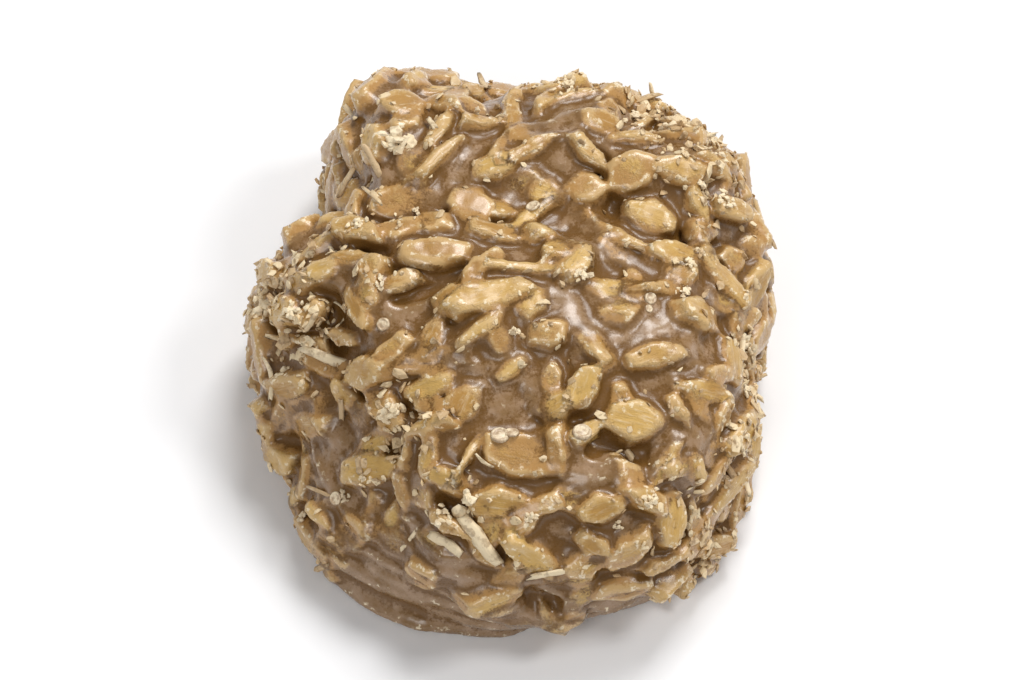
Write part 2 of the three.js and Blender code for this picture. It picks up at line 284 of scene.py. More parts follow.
# Dark creases between the chips, each from start to end.
GROOVES = [
    {"start": (6.5, 10.0), "end": (7.1, 8.4), "radius": 0.8, "depth": 0.8},
    {"start": (7.1, 8.4), "end": (7.7, 6.0), "radius": 1.0, "depth": 0.9},
    {"start": (-8.2, 0.2), "end": (-3.4, 0.2), "radius": 0.9, "depth": 0.8},
    {"start": (-7.8, -1.0), "end": (-4.4, -1.0), "radius": 1.4, "depth": 0.9},
    {"start": (-4.8, -4.1), "end": (-2.4, -3.9), "radius": 0.7, "depth": 0.3},
    {"start": (6.2, -12.4), "end": (9.4, -13.2), "radius": 1.2, "depth": 0.9},
    {"start": (3.4, -11.2), "end": (6.0, -11.6), "radius": 1.5, "depth": 1.0},
    {"start": (-14.0, -5.4), "end": (-10.8, -6.2), "radius": 1.0, "depth": 0.9},
    {"start": (-10.6, -6.6), "end": (-9.4, -8.6), "radius": 1.1, "depth": 1.0},
    {"start": (-9.6, -10.8), "end": (-7.4, -12.6), "radius": 1.4, "depth": 0.9},
    {"start": (-10.8, 9.2), "end": (-7.0, 8.9), "radius": 0.7, "depth": 0.6},
    {"start": (-12.2, 13.4), "end": (-11.8, 14.4), "radius": 1.4, "depth": 1.2},
    {"start": (11.5, 4.6), "end": (15.6, 4.0), "radius": 1.1, "depth": 0.7},
    {"start": (-1.0, -19.2), "end": (6.0, -19.4), "radius": 0.9, "depth": 0.2},
    {"start": (-5.6, -14.6), "end": (-3.9, -15.8), "radius": 0.8, "depth": 0.8},
    {"start": (0.0, -16.9), "end": (1.0, -18.8), "radius": 1.1, "depth": 0.5},
    {"start": (2.0, 6.5), "end": (3.9, 6.6), "radius": 0.6, "depth": 0.5},
    {"start": (-12.2, 2.0), "end": (-9.2, 1.7), "radius": 1.3, "depth": 0.8},
    {"start": (-16.6, -0.2), "end": (-15.2, -1.4), "radius": 1.8, "depth": 1.1},
    {"start": (-13.0, -0.8), "end": (-12.6, -2.8), "radius": 1.2, "depth": 0.9},
    {"start": (14.8, 3.2), "end": (17.0, 0.5), "radius": 1.6, "depth": 0.6},
    {"start": (8.6, -14.6), "end": (9.0, -15.8), "radius": 0.9, "depth": 0.8},
    {"start": (-11.9, 7.6), "end": (-12.6, 6.4), "radius": 1.2, "depth": 0.9},
    {"start": (12.0, -15.0), "end": (12.4, -16.6), "radius": 0.9, "depth": 0.7},
    {"start": (-7.2, -8.9), "end": (-4.4, -10.6), "radius": 0.8, "depth": 0.7},
    {"start": (3.8, -6.4), "end": (4.2, -8.8), "radius": 0.7, "depth": 0.3},
    {"start": (-4.9, 5.2), "end": (-1.6, 4.9), "radius": 0.7, "depth": 0.6},
    {"start": (-9.0, 4.2), "end": (-7.8, 3.2), "radius": 0.9, "depth": 0.7},
]
# Smooth runs of thick chocolate over the chips, each from start to end.
FLOWS = [
    {"start": (0.2, 6.6), "end": (3.3, 4.4), "radius": 0.6, "rise": 0.25},
    {"start": (3.3, 4.4), "end": (6.2, 6.8), "radius": 0.6, "rise": 0.25},
    {"start": (10.3, 0.8), "end": (10.2, -2.4), "radius": 0.45, "rise": 0.3},
    {"start": (10.2, -2.4), "end": (8.4, -4.0), "radius": 0.6, "rise": 0.3},
    {"start": (1.4, -8.0), "end": (3.0, -10.8), "radius": 0.7, "rise": 0.25},
    {"start": (4.6, -15.1), "end": (7.6, -13.5), "radius": 0.5, "rise": 0.3},
    {"start": (3.2, -1.8), "end": (5.0, -4.2), "radius": 0.8, "rise": 0.2},
    {"start": (4.8, 2.2), "end": (8.4, 1.6), "radius": 0.5, "rise": 0.2},
    {"start": (-8.6, 8.0), "end": (-6.2, 8.3), "radius": 0.6, "rise": 0.25},
]
GROOVE_BLEND = 0.5
FLOW_BLEND = 0.7
LIP = {"azimuth": 232, "spread": 30, "reach": 0.1, "fade": 3, "height": 0.4, "radius": 0.36}
FOLD_LENGTH = 1.5
FOLD_DEPTH = 0.6
FOLD_STRETCH = np.array([0.16, 0.16, 1.0])
GRAIN_LENGTH = 1.1
GRAIN_DEPTH = 0.09
ROUGH_HEIGHT = 0.6
FRACTAL_FALL = 0.8
FRACTAL_STEP = 2.0

# The loose coconut on the coat, with places seen from above in the mound's own frame. None of it
# passes the part's box by more than this share of its size.
BOX_ROOM = 0.02
TRIES_FOR_EACH = 6
COPY_STREAK_SHIFT = 30
COPY_BEND_LEVEL = 0.4
RIM_SLOPE_SPREAD = 0.5
# How much height counts against distance, to find the point that shows from above.
HEIGHT_PULL = 0.05
CRUMB_SEED = 11
CRUMB_SHARES = {"anywhere": 0.06, "edges": 0.3, "rim": 0.25}
CRUMB_RIPPLE = {"length": 11.0, "phase": 2.2, "middle": 0.5, "swing": 0.9}
CRUMBS = {
    "above_sheet": 1.5,
    "out_of_pools": 0.97,
    "edge_height": 0.12,
    "rim_slope": 0.45,
    "least_slope": -0.6,
    "more_in_patches": 0.8,
    "full_patch": 3,
    "apart": 0.24,
    "tilt": 0.4,
    "spread": 0.33,
    "length": (0.8, 1.7),
    "width": (0.5, 1.1),
    "thick": 0.36,
    "seat": 0.1,
    "jitter": 0.38,
}
LUMP_SEED = 13
LUMP_BITS = {
    "count": 16,
    "spread": 0.24,
    "heap": 0.34,
    "tilt": 0.35,
    "size": (0.24, 0.5),
    "width": (0.5, 0.9),
    "thick": 0.5,
    "tone": (0, 0.4),
    "jitter": 0.3,
}
SHRED_SEED = 12
DRAWN_SHREDS = {
    "apart": 1.3,
    "above_sheet": 1.6,
    "off_chips": 0.5,
    "anywhere": 0.25,
    "rim_slope": 0.5,
    "tilt": 0.4,
    "length": (1.2, 3.0),
    "width": (0.3, 0.6),
    "thick": 0.5,
    "bend": (-0.3, 0.5),
    "seat": 0.1,
    "jitter": 0.16,
}
CRUMB_PATCHES = [
    {"x": 13.5, "y": 9.0, "spread": 2.6, "amount": 1.7},
    {"x": 10, "y": 16, "spread": 2.6, "amount": 1.7},
    {"x": 13.5, "y": 14, "spread": 2.6, "amount": 1.7},
    {"x": 5, "y": 19, "spread": 2.0, "amount": 1.5},
    {"x": -17.0, "y": 2.5, "spread": 2.0, "amount": 1.7},
    {"x": -15.0, "y": -1.5, "spread": 1.8, "amount": 1.2},
    {"x": -13.8, "y": -3.4, "spread": 1.5, "amount": 1.5},
    {"x": -8.6, "y": -8.6, "spread": 1.2, "amount": 1.7},
    {"x": -7.6, "y": -11.0, "spread": 1.2, "amount": 1.5},
    {"x": -12.4, "y": 3.6, "spread": 1.6, "amount": 1.0},
    {"x": 17.2, "y": -4.0, "spread": 1.6, "amount": 1.7},
    {"x": 13.6, "y": -15.4, "spread": 1.6, "amount": 1.5},
    {"x": 16.4, "y": -10.6, "spread": 1.6, "amount": 1.0},
    {"x": -11.0, "y": -12.6, "spread": 0.9, "amount": 1.7},
]
# Rough lumps of pale coconut: x, y and width.
LUMPS_OF_CREAM = [
    (-7.9, 10.2, 2.8),
    (0.3, -5.2, 1.3),
    (5.1, -0.7, 1.3),
    (-2.4, 13.4, 1.3),
    (-8.5, -9.6, 1.9),
    (-6.6, 5.3, 1.0),
    (-9.3, -1.3, 1.2),
    (4.0, 17.2, 1.2),
    (1.7, -17.2, 1.1),
    (7.6, -17.3, 1.0),
    (10.2, -16.0, 1.3),
    (-12.0, -12.7, 1.0),
    (-10.4, -12.4, 1.1),
    (-15.0, -11.4, 1.4),
    (17.2, -5.0, 1.3),
    (17.3, -2.6, 1.4),
    (-17.6, 1.6, 2.2),
    (-15.6, -1.2, 1.5),
    (-4.6, -16.7, 1.3),
    (-2.8, -16.0, 1.6),
    (12.6, -0.9, 1.2),
    (13.0, 1.0, 1.1),
    (9.6, 14.6, 1.6),
    (11.8, 13.0, 1.6),
    (14.6, 10.4, 1.6),
    (13.9, 7.6, 1.2),
    (15.8, 7.0, 1.3),
    (-16.6, -3.4, 1.2),
    (-10.9, 4.0, 1.2),
    (-12.6, 2.9, 1.3),
]
STRIP_FORM = {"sides": 6, "rings": 7}
STRIP_END = 0.8
SHREDS = [
    {"x": -2.0, "y": -17.8, "heading": -52, "lean": -6, "length": 4.0, "width": 1.1},
    {"x": -2.9, "y": -16.6, "heading": -62, "lean": 4, "length": 2.8, "width": 1.1},
    {"x": -4.2, "y": -17.2, "heading": -48, "lean": 0, "length": 2.6, "width": 0.9},
    {"x": -7.2, "y": -16.8, "heading": 80, "lean": 0, "length": 2.4, "width": 0.35},
    {"x": 1.4, "y": 0.1, "heading": -3, "lean": 0, "length": 6.8, "width": 0.5},
    {"x": 8.2, "y": 3.4, "heading": -33, "lean": 0, "length": 4.6, "width": 0.8},
    {"x": 0.2, "y": 5.9, "heading": -38, "lean": 0, "length": 5.6, "width": 0.45},
    {"x": -9.0, "y": 10.9, "heading": 72, "lean": 0, "length": 3.6, "width": 2.0},
    {"x": -13.0, "y": -3.7, "heading": -38, "lean": 5, "length": 4.2, "width": 0.8},
    {"x": -17.0, "y": -3.4, "heading": -42, "lean": 0, "length": 3.0, "width": 0.5},
    {"x": 3.6, "y": -19.3, "heading": 3, "lean": 0, "length": 4.4, "width": 0.6},
]
SHRED_LAY = {"roll": 0, "proud": 0.2}
SHRED_THICK = 0.4
SHRED_SEAT = 0.06
SHRED_TONE = 0.3
# A burst bubble from its middle over its rim, and back below to the middle: radius and height,
# for a rim of radius 1.
BUBBLE_PROFILE = [
    (0.0, 0.2),
    (0.3, 0.17),
    (0.55, 0.09),
    (0.74, 0.08),
    (0.88, 0.2),
    (1.0, 0.24),
    (1.14, 0.12),
    (1.3, -0.12),
    (0.0, -0.3),
]
BUBBLE_SIDES = 20
BUBBLE_SEAT = 0.03
BUBBLE_JITTER = 0.03
BUBBLES = [
    {"x": 10.2, "y": -2.0, "size": 0.8},
    {"x": 10.0, "y": -2.9, "size": 0.5},
    {"x": -0.6, "y": -12.0, "size": 1.1},
    {"x": 0.3, "y": -11.8, "size": 0.9},
    {"x": 5.2, "y": -12.1, "size": 1.15},
    {"x": -8.9, "y": -3.6, "size": 0.8},
    {"x": -12.5, "y": -12.7, "size": 0.8},
    {"x": 1.7, "y": 5.7, "size": 0.9},
]

# The stage.
FLOOR_WIDTH = 3.0
VIEW_TARGET = Vector((0, 0, 0.008))
VIEW_ELEVATION = 60
VIEW_DISTANCE = 0.6
VIEW_LENS = 290
VIEW_SENSOR = 36
LIGHTS = {
    "back_softbox": {"azimuth": 158, "elevation": 57, "distance": 0.8, "size": 0.3, "power": 4.3},
    "right_softbox": {"azimuth": 95, "elevation": 54, "distance": 0.9, "size": 0.24, "power": 2.6},
    "front_softbox": {"azimuth": -28, "elevation": 46, "distance": 0.9, "size": 0.3, "power": 1.85},
}
ROOM_COLOUR = (1.0, 1.0, 1.0)
ROOM_STRENGTH = 0.3


def drawer(seed):
    """Numbers from 0 to 1 that repeat for a seed, the same as in the part's source."""
    mask = 0xFFFFFFFF
    state = seed & mask

    def draw():
        nonlocal state
        state = (state + 0x6D2B79F5) & mask
        mixed = ((state ^ (state >> 15)) * (state | 1)) & mask
        mixed = ((mixed + (mixed ^ (mixed >> 7)) * (mixed | 61)) & mask) ^ mixed
        return (mixed ^ (mixed >> 14)) / (mask + 1)

    return draw


def bell(distance, spread):
    """From 1 at no distance down to about a third at one spread and to nothing beyond two."""
    return np.exp(-((distance / spread) ** 2))


def turn(start, end):
    """The shorter way round from one azimuth to another, in degrees."""
    return (end - start + 180) % 360 - 180


def outline(azimuth):
    """The mound's radius seen from above: an oval with lobes."""
    angle = np.radians(azimuth)
    oval = 1 / np.hypot(np.cos(angle) / MOUND_WIDTH, np.sin(angle) / MOUND_DEPTH)
    lobes = (
        lobe["reach"] * bell(turn(lobe["azimuth"], azimuth), lobe["spread"]) for lobe in LOBES
    )
    return oval / 2 + sum(lobes)


def side_power(azimuth):
    """How square the mound's side is: steep all round, but a slope at the front left."""
    slope = bell(turn(SLOPE_AZIMUTH, azimuth), SLOPE_SPREAD)
    return STEEP_POWER + (SLOPE_POWER - STEEP_POWER) * slope


def lumps(x, y, z):
    """How far the skin waves in and out there."""
    total = 0
    for lump in LUMPS:
        k = 2 * math.pi / lump["length"]
        wave = np.sin(k * (x + 0.6 * z) + 1.3)
        wave = wave + np.sin(k * (y - 0.5 * z) + lump["length"])
        wave = wave + np.sin(k * (0.7 * x - 0.7 * y + z) + 4.1)
        total = total + lump["height"] * wave / 2
    return total


def swells(x, y):
    """How much the top rises above its plain height there."""
    return sum(
        swell["rise"] * bell(np.hypot(x - swell["x"], y - swell["y"]), swell["spread"])
        for swell in SWELLS
    )


def foot_and_tuck(azimuth, z):
    """How far the side reaches past its plain radius near the sheet."""
    foot = bell(turn(FOOT["azimuth"], azimuth), FOOT["spread"])
    return foot * FOOT["reach"] * bell(z, FOOT["height"]) - (1 - foot) * TUCK * bell(z, TUCK_HEIGHT)


def skin(azimuth, climb):
    """A point of the mound's skin."""
    angle = math.radians(azimuth)
    power = side_power(azimuth)
    level = max(math.cos(math.radians(climb)), 0)
    rise = max(math.sin(math.radians(climb)), 0)
    scale = (level**power + rise**power) ** (-1 / power)
    z = MOUND_HEIGHT * rise * scale
    radius = level * scale * outline(azimuth) + foot_and_tuck(azimuth, z)
    x = radius * math.cos(angle)
    y = radius * math.sin(angle)
    z += swells(x, y) * z / MOUND_HEIGHT
    grow = 1 + lumps(x, y, z) / (MOUND_WIDTH / 2)
    return Vector((x * grow, y * grow, z * grow))


def above(x, y):
    """The azimuth and climb of the skin above x and y, before its lumps."""
    azimuth = math.degrees(math.atan2(y, x))
    power = side_power(azimuth)
    share = min(math.hypot(x, y) / outline(azimuth), 0.999)
    climb = math.degrees(math.atan((share**-power - 1) ** (1 / power)))
    return {"azimuth": azimuth, "climb": climb}


def skin_normal(azimuth, climb):
    """The direction straight out of the skin."""
    step = 1
    along = skin(azimuth + step, climb) - skin(azimuth - step, climb)
    low = max(climb - step, 0)
    high = min(climb + step, 90 - step)
    up = skin(azimuth, high) - skin(azimuth, low)
    return along.cross(up).normalized()


def lay_chip(spot, size):
    """A chip on the skin: its middle, its directions and its size."""
    out = skin_normal(spot["azimuth"], spot["climb"])
    place = skin(spot["azimuth"], spot["climb"]) + out * spot["proud"]
    level = Vector((0, 1, 0)) if out.z > 0.6 else Vector((0, 0, 1))
    along = level.cross(out).normalized()
    along.rotate(Matrix.Rotation(math.radians(spot["heading"]), 3, out))
    across = out.cross(along)
    along.rotate(Matrix.Rotation(math.radians(spot["lean"]), 3, across))
    face = along.cross(across)
    face.rotate(Matrix.Rotation(math.radians(spot["roll"]), 3, along))
    return {"place": place, "along": along, "face": face, "across": face.cross(along), **size}


def reach_down(chip):
    """The most that a chip reaches below its middle."""
    reach = (
        abs(chip["along"].z) * chip["length"]
        + abs(chip["across"].z) * chip["width"]
        + abs(chip["face"].z) * chip["thick"]
    )
    return reach / 2


def pool_places():
    """The middle of each pool on the skin, and its reach."""
    return [(skin(**above(pool["x"], pool["y"])), pool["size"]) for pool in POOLS]


def lay_chips():
    """The chips of the part's source, each where it lies there."""
    draw = drawer(SEED)

    def between(ends):
        return ends[0] + (ends[1] - ends[0]) * draw()

    def either(most):
        return most * (draw() + draw() - 1)

    pools = pool_places()
    chips = []
    for x, y, heading, length, width in PLACED_FLAKES:
        lean = either(PLACED["lean"])
        roll = either(PLACED["lean"])
        proud = PLACED["proud"] * draw()
        spot = {**above(x, y), "heading": heading, "lean": lean, "roll": roll, "proud": proud}
        size = {**PLACED, "length": length, "width": width, "phase": 2 * math.pi * draw()}
        chips.append(lay_chip(spot, size))
    chips.append(lay_chip(LOW_SHRED["spot"], LOW_SHRED["size"]))
    for kind in CHIP_KINDS:
        for _ in range(kind["tries"]):
            spot = {
                "azimuth": 360 * draw(),
                "climb": 90 * (1 - math.sqrt(draw())),
                "heading": HEADING + either(HEADING_SPREAD),
                "lean": either(kind["lean"]),
                "roll": either(kind["lean"]),
                "proud": kind["proud"] * draw(),
            }
            size = {
                "length": between(kind["length"]),
                "width": between(kind["width"]),
                "thick": between(kind["thick"]),
                "sides": kind["sides"],
                "phase": 2 * math.pi * draw(),
            }
            place = skin(spot["azimuth"], spot["climb"])
            if any((chip["place"] - place).length < kind["apart"] for chip in chips):
                continue
            if any((pool - place).length < reach for pool, reach in pools):
                continue
            chip = lay_chip(spot, size)
            if chip["place"].z - reach_down(chip) > CLEAR_OF_SHEET:
                chips.append(chip)
    return chips


def chip_corners(chip):
    """The corners of the chip's solid in the part's source."""
    angle = 2 * math.pi * np.arange(chip["sides"]) / chip["sides"] - math.pi / 2
    wobble = 1 + CHIP_WOBBLE * np.sin(2 * angle + chip["phase"])
    corners = []
    for radius, height in ((0.5, -0.5), (CHIP_TAPER / 2, 0.5)):
        x = radius * wobble * np.cos(angle) * chip["length"]
        y = radius * wobble * np.sin(angle) * chip["width"]
        z = np.full(len(angle), height * chip["thick"])
        corners.append(np.stack([x, y, z], axis=1))
    axes = np.array([chip["along"], chip["across"], chip["face"]])
    return np.concatenate(corners) @ axes + np.array(chip["place"])


CHIPS = lay_chips()


def centre_shift():
    """From the mound's own middle to the frame's, which is below the middle of the box."""
    corners = np.concatenate([chip_corners(chip) for chip in CHIPS])
    middle = (corners.min(axis=0) + corners.max(axis=0)) / 2
    return np.array([-middle[0], -middle[1], 0.0])


SHIFT = centre_shift()


def smooth_union(a, b, blend):
    """The nearer of two distances, with a fillet where they are about equal."""
    share = np.clip(0.5 + 0.5 * (b - a) / blend, 0, 1)
    return b + (a - b) * share - blend * share * (1 - share)


def ripple(x, y, z, length, phase, middle, swing):
    """A soft uneven wave, about as long as length, that swings to both sides of its middle."""
    k = 2 * math.pi / length
    first = np.sin(k * (0.9 * x + 0.4 * y - 0.2 * z) + phase)
    second = np.sin(k * (0.7 * y - 0.5 * x + 0.6 * z) + 2.1 * phase + 1.0)
    third = np.sin(k * (0.8 * z + 0.3 * x + 0.6 * y) - 1.3 * phase + 2.0)
    bent = np.sin(k * 1.9 * (0.5 * x - 0.8 * y + 0.3 * z) + first + second)
    return middle + swing * ((first + second + third + bent) / 3)


def mound_distance(x, y, z, step):
    """Distances from a grid's points to the mound's skin, close to it."""
    inner = (x, y, z)
    for _ in range(2):
        grow = 1 + lumps(*inner) / (MOUND_WIDTH / 2)
        inner = (x / grow, y / grow, z / grow)
    x, y, z = inner
    z = z / (1 + swells(x, y) / MOUND_HEIGHT)
    azimuth = np.degrees(np.arctan2(y, x))
    power = side_power(azimuth)
    share = np.maximum(np.hypot(x, y) - foot_and_tuck(azimuth, z), 0) / outline(azimuth)
    height = np.maximum(z, 0) / MOUND_HEIGHT
    form = (share**power + height**power) ** (1 / power) - 1
    slope = np.sqrt(sum(part**2 for part in np.gradient(form, step)))
    return form / np.maximum(slope, 1e-3)


def chip_frame(chip, points):
    """Points along, across and out of a chip, from its middle."""
    axes = np.array([chip["along"], chip["across"], chip["face"]])
    return (points - np.array(chip["place"])) @ axes.T


def cut_faces(chip, random):
    """The faces of a chip in its own frame: their directions, and how far each is from the middle.

    They follow the faces of the solid's chip, less tapered, with the outer one tilted and some
    corners cut off.
    """
    angle = 2 * math.pi * np.arange(chip["sides"]) / chip["sides"] - math.pi / 2
    wobble = 0.5 + CHIP_WOBBLE / 2 * np.sin(2 * angle + chip["phase"])
    half = chip["thick"] / 2
    x = wobble * np.cos(angle) * chip["length"]
    y = wobble * np.sin(angle) * chip["width"]
    low = np.stack([x, y, np.full(len(angle), -half)], axis=1)
    high = np.stack([x * FACE_TAPER, y * FACE_TAPER, np.full(len(angle), half)], axis=1)
    directions = list(np.cross(np.roll(low, -1, axis=0) - low, high - low))
    tilt = random.normal(0, FACE_TILT, 2) * FACE_TILT_LENGTH / chip["length"]
    directions += [np.array([*tilt, 1.0]), np.array([0, 0, -1.0])]
    directions += [random.normal(size=3) * CUT_LEAN for _ in range(CORNER_CUTS)]
    directions = np.array([part / np.linalg.norm(part) for part in directions])
    reaches = (np.concatenate([low, high]) @ directions.T).max(axis=0)
    reaches[-CORNER_CUTS:] *= random.uniform(*CUT_SHARE, CORNER_CUTS)
    chip["faces"] = directions
    chip["reaches"] = reaches * FACE_ROOM


def chip_distance(chip, points):
    """Distances from points to a slightly bent chip with rounded edges."""
    place = chip_frame(chip, points) - np.array([0, 0, FACE_LIFT])
    place[:, 2] += chip["bend"] * ((2 * place[:, 0] / chip["length"]) ** 2 - CHIP_BEND_LEVEL)
    share = np.maximum(place @ chip["faces"].T / chip["reaches"], 0)
    rim = (share**EDGE_POWER).sum(axis=1) ** (1 / EDGE_POWER) + 1e-6
    pull = (share / rim[:, None]) ** (EDGE_POWER - 1) / chip["reaches"]
    slope = np.linalg.norm(pull @ chip["faces"], axis=1)
    return (rim - 1) / np.maximum(slope, 1e-3)


def shape_chips(chips, random):
    """Gives each chip what the solids leave out: its cut faces, its bend, its tone and its coat."""
    for chip in chips:
        cut_faces(chip, random)
        chip["bend"] = CHIP_BEND * random.uniform(*CHIP_BEND_SHARE)
        chip["tone"] = random.uniform(0, 1)
        chip["coat"] = random.uniform(*COATS)


def coat_named():
    """Leaves the chips that show most bare and golden, apart from the coated ones."""
    for row in range(len(PLACED_FLAKES)):
        chip = CHIPS[row]
        bare = BARE_FLAKE_SHARE * chip["coat"]
        chip["coat"] = COATED_FLAKE_COAT if row in COATED_FLAKES else bare


def lay_fillers():
    """Small chips in the gaps that the solid's chips leave, none in the pools."""
    random = np.random.default_rng(FILLER_SEED)
    pools = pool_places()
    azimuths = random.uniform(0, 360, FILLERS["tries"])
    climbs = 90 * (1 - np.sqrt(random.uniform(0, 1, FILLERS["tries"])))
    places = np.array([skin(azimuth, climb) for azimuth, climb in zip(azimuths, climbs)])
    gaps = nearest_chips(places, CHIPS)[0]
    kept = []
    fillers = []
    for azimuth, climb, place, gap in zip(azimuths, climbs, places, gaps):
        if gap < FILLERS["clear"] or place[2] < FILLERS["above_sheet"]:
            continue
        if climb > FILLERS["top_climb"] and random.uniform() > FILLERS["share_on_top"]:
            continue
        if kept and np.linalg.norm(np.array(kept) - place, axis=1).min() < FILLERS["apart"]:
            continue
        near = FILLERS["pool_share"]
        if any((pool - Vector(place)).length < near * reach for pool, reach in pools):
            continue
        kept.append(place)
        spot = {
            "azimuth": azimuth,
            "climb": climb,
            "heading": random.uniform(-1, 1) * FILLERS["heading_spread"],
            "lean": random.uniform(-1, 1) * FILLERS["lean"],
            "roll": random.uniform(-1, 1) * FILLERS["lean"],
            "proud": random.uniform(*FILLERS["proud"]),
        }
        size = {name: random.uniform(*FILLERS[name]) for name in ("length", "width", "thick")}
        size["phase"] = random.uniform(0, 2 * math.pi)
        size["sides"] = int(random.integers(*FILLERS["sides"], endpoint=True))
        fillers.append(lay_chip(spot, size))
    shape_chips(fillers, random)
    return fillers


def pool_share(x, y, z):
    """How far each point lies in smooth chocolate, from 0 to 1."""
    total = 0
    for middle, reach in pool_places():
        away = np.sqrt((x - middle.x) ** 2 + (y - middle.y) ** 2 + (z - middle.z) ** 2)
        total = total + POOL_FULLNESS * bell(away, reach)
    return np.clip(total, 0, 1)


def near_part(middle, reach, low, step):
    """The part of the grid within reach of a point."""
    start = np.maximum(np.floor((np.array(middle) - reach - low) / step), 0).astype(int)
    end = np.ceil((np.array(middle) + reach - low) / step).astype(int)
    return tuple(slice(a, b) for a, b in zip(start, end))


def run_distance(run, lift, grid, low, step):
    """Distances to a rounded run along the skin, lifted off it, in the part of the grid near it."""
    ends = []
    for x, y in (run["start"], run["end"]):
        spot = above(x, y)
        ends.append(np.array(skin(**spot) + skin_normal(**spot) * lift))
    first, last = ends
    span = last - first
    reach = np.linalg.norm(span) / 2 + run["radius"] + CHIP_CLEARANCE
    part = near_part((first + last) / 2, reach, low, step)
    offset = [axis[part] - start for axis, start in zip(grid, first)]
    share = np.clip(sum(a * b for a, b in zip(offset, span)) / (span @ span), 0, 1)
    away = np.sqrt(sum((a - share * b) ** 2 for a, b in zip(offset, span)))
    return part, away - run["radius"]


def level_below_skin(x, y, z, smooth):
    """How far the chocolate lies below the mound's skin, unevenly, where it isn't smooth."""
    wall = np.clip((np.hypot(x, y) - WALL_START) / WALL_REACH, 0, 1)
    sink = SINK_ON_TOP + (SINK_ON_WALLS - SINK_ON_TOP) * wall
    uneven_sink = np.clip(ripple(x, y, z, **LEVEL_RIPPLE), 0, UNEVEN_SINK_MOST)
    return sink * (1 - smooth) * uneven_sink


def lip_distance(x, y, z):
    """Distances to the thin lip of chocolate at the foot of the slope."""
    azimuth = np.degrees(np.arctan2(y, x))
    ledge = bell(turn(LIP["azimuth"], azimuth), LIP["spread"])
    off = np.hypot(x, y) - outline(azimuth) - LIP["reach"] * ledge + (1 - ledge) * LIP["fade"]
    return np.hypot(off, z - LIP["height"]) - LIP["radius"]


def build_field(step, chips):
    """Distances on a grid to the coated rock and to the chocolate without its chips.

    They are negative inside, and come with the grid's lowest corner.
    """
    size = np.array(ROCK_SIZE) * (1 / MM)
    low = np.array([*(-SHIFT[:2] - size[:2] / 2), 0]) - FIELD_MARGIN
    high = low + size + 2 * FIELD_MARGIN
    axes = [np.arange(a, b, step) for a, b in zip(low, high)]
    x, y, z = np.meshgrid(*axes, indexing="ij")
    smooth = pool_share(x, y, z)
    level = level_below_skin(x, y, z, smooth)
    field = mound_distance(x, y, z, step) + level - RISE_IN_POOLS * smooth
    for groove in GROOVES:
        part, away = run_distance(groove, groove["radius"] - groove["depth"], (x, y, z), low, step)
        field[part] = -smooth_union(-field[part], away, GROOVE_BLEND)
    field = smooth_union(field, lip_distance(x, y, z), TIGHT_BLEND)
    melt = field.copy()
    looseness = ripple(x, y, z, **BLEND_RIPPLE) + LOOSER_IN_POOLS * smooth
    looseness = np.clip(looseness, 0, 1)
    blend = TIGHT_BLEND + (LOOSE_BLEND - TIGHT_BLEND) * looseness
    for chip in chips:
        part = near_part(chip["place"], chip["length"] / 2 + CHIP_CLEARANCE, low, step)
        points = np.stack([x[part], y[part], z[part]], axis=-1)
        away = chip_distance(chip, points.reshape(-1, 3)).reshape(points.shape[:3])
        field[part] = smooth_union(field[part], away, blend[part])
    for flow in FLOWS:
        part, away = run_distance(flow, flow["rise"] - flow["radius"], (x, y, z), low, step)
        field[part] = smooth_union(field[part], away, FLOW_BLEND)
    return np.maximum(field, -z), melt, low


def surface_net(field, low, step):
    """The quads that follow a field's zero level, one vertex in each cell that it crosses."""
    inside = field < 0
    cells_shape = tuple(n - 1 for n in field.shape)
    corners = np.zeros(cells_shape, dtype=np.int8)
    for offset in np.ndindex(2, 2, 2):
        corners += inside[tuple(slice(o, o + n) for o, n in zip(offset, cells_shape))]
    cells = np.argwhere((corners > 0) & (corners < 8))
    number = np.full(cells_shape, -1)
    number[tuple(cells.T)] = np.arange(len(cells))
    total = np.zeros((len(cells), 3))
    hits = np.zeros(len(cells))
    quads = []
    for axis in range(3):
        along = np.eye(3, dtype=int)[axis]
        for offset in np.ndindex(2, 2, 2):
            if offset[axis]:
                continue
            start = cells + offset
            first = field[tuple(start.T)]
            last = field[tuple((start + along).T)]
            crossed = (first < 0) != (last < 0)
            share = first[crossed] / (first[crossed] - last[crossed])
            total[crossed] += np.array(offset) + share[:, None] * along
            hits[crossed] += 1
        side_a = np.eye(3, dtype=int)[(axis + 1) % 3]
        side_b = np.eye(3, dtype=int)[(axis + 2) % 3]
        ahead = tuple(slice(1, None) if i == axis else slice(None) for i in range(3))
        behind = tuple(slice(None, -1) if i == axis else slice(None) for i in range(3))
        for falling in (True, False):
            change = (inside[behind] == falling) & (inside[ahead] != falling)
            edges = np.argwhere(change)
            edges = edges[(edges[:, (axis + 1) % 3] > 0) & (edges[:, (axis + 2) % 3] > 0)]
            ring = [edges - side_a - side_b, edges - side_b, edges, edges - side_a]
            quad = np.stack([number[tuple(cell.T)] for cell in ring], axis=1)
            quads.append(quad if falling else quad[:, ::-1])
    quads = np.concatenate(quads)
    return low + step * (cells + total / hits[:, None]), quads[(quads >= 0).all(axis=1)]


def vertex_normals(vertices, quads):
    """The direction straight out of the skin at each vertex."""
    a, b, c, d = (vertices[quads[:, i]] for i in range(4))
    faces = np.cross(c - a, d - b)
    total = np.zeros((len(vertices), 3))
    for i in range(4):
        np.add.at(total, quads[:, i], faces)
    return total / np.maximum(np.linalg.norm(total, axis=1), 1e-9)[:, None]


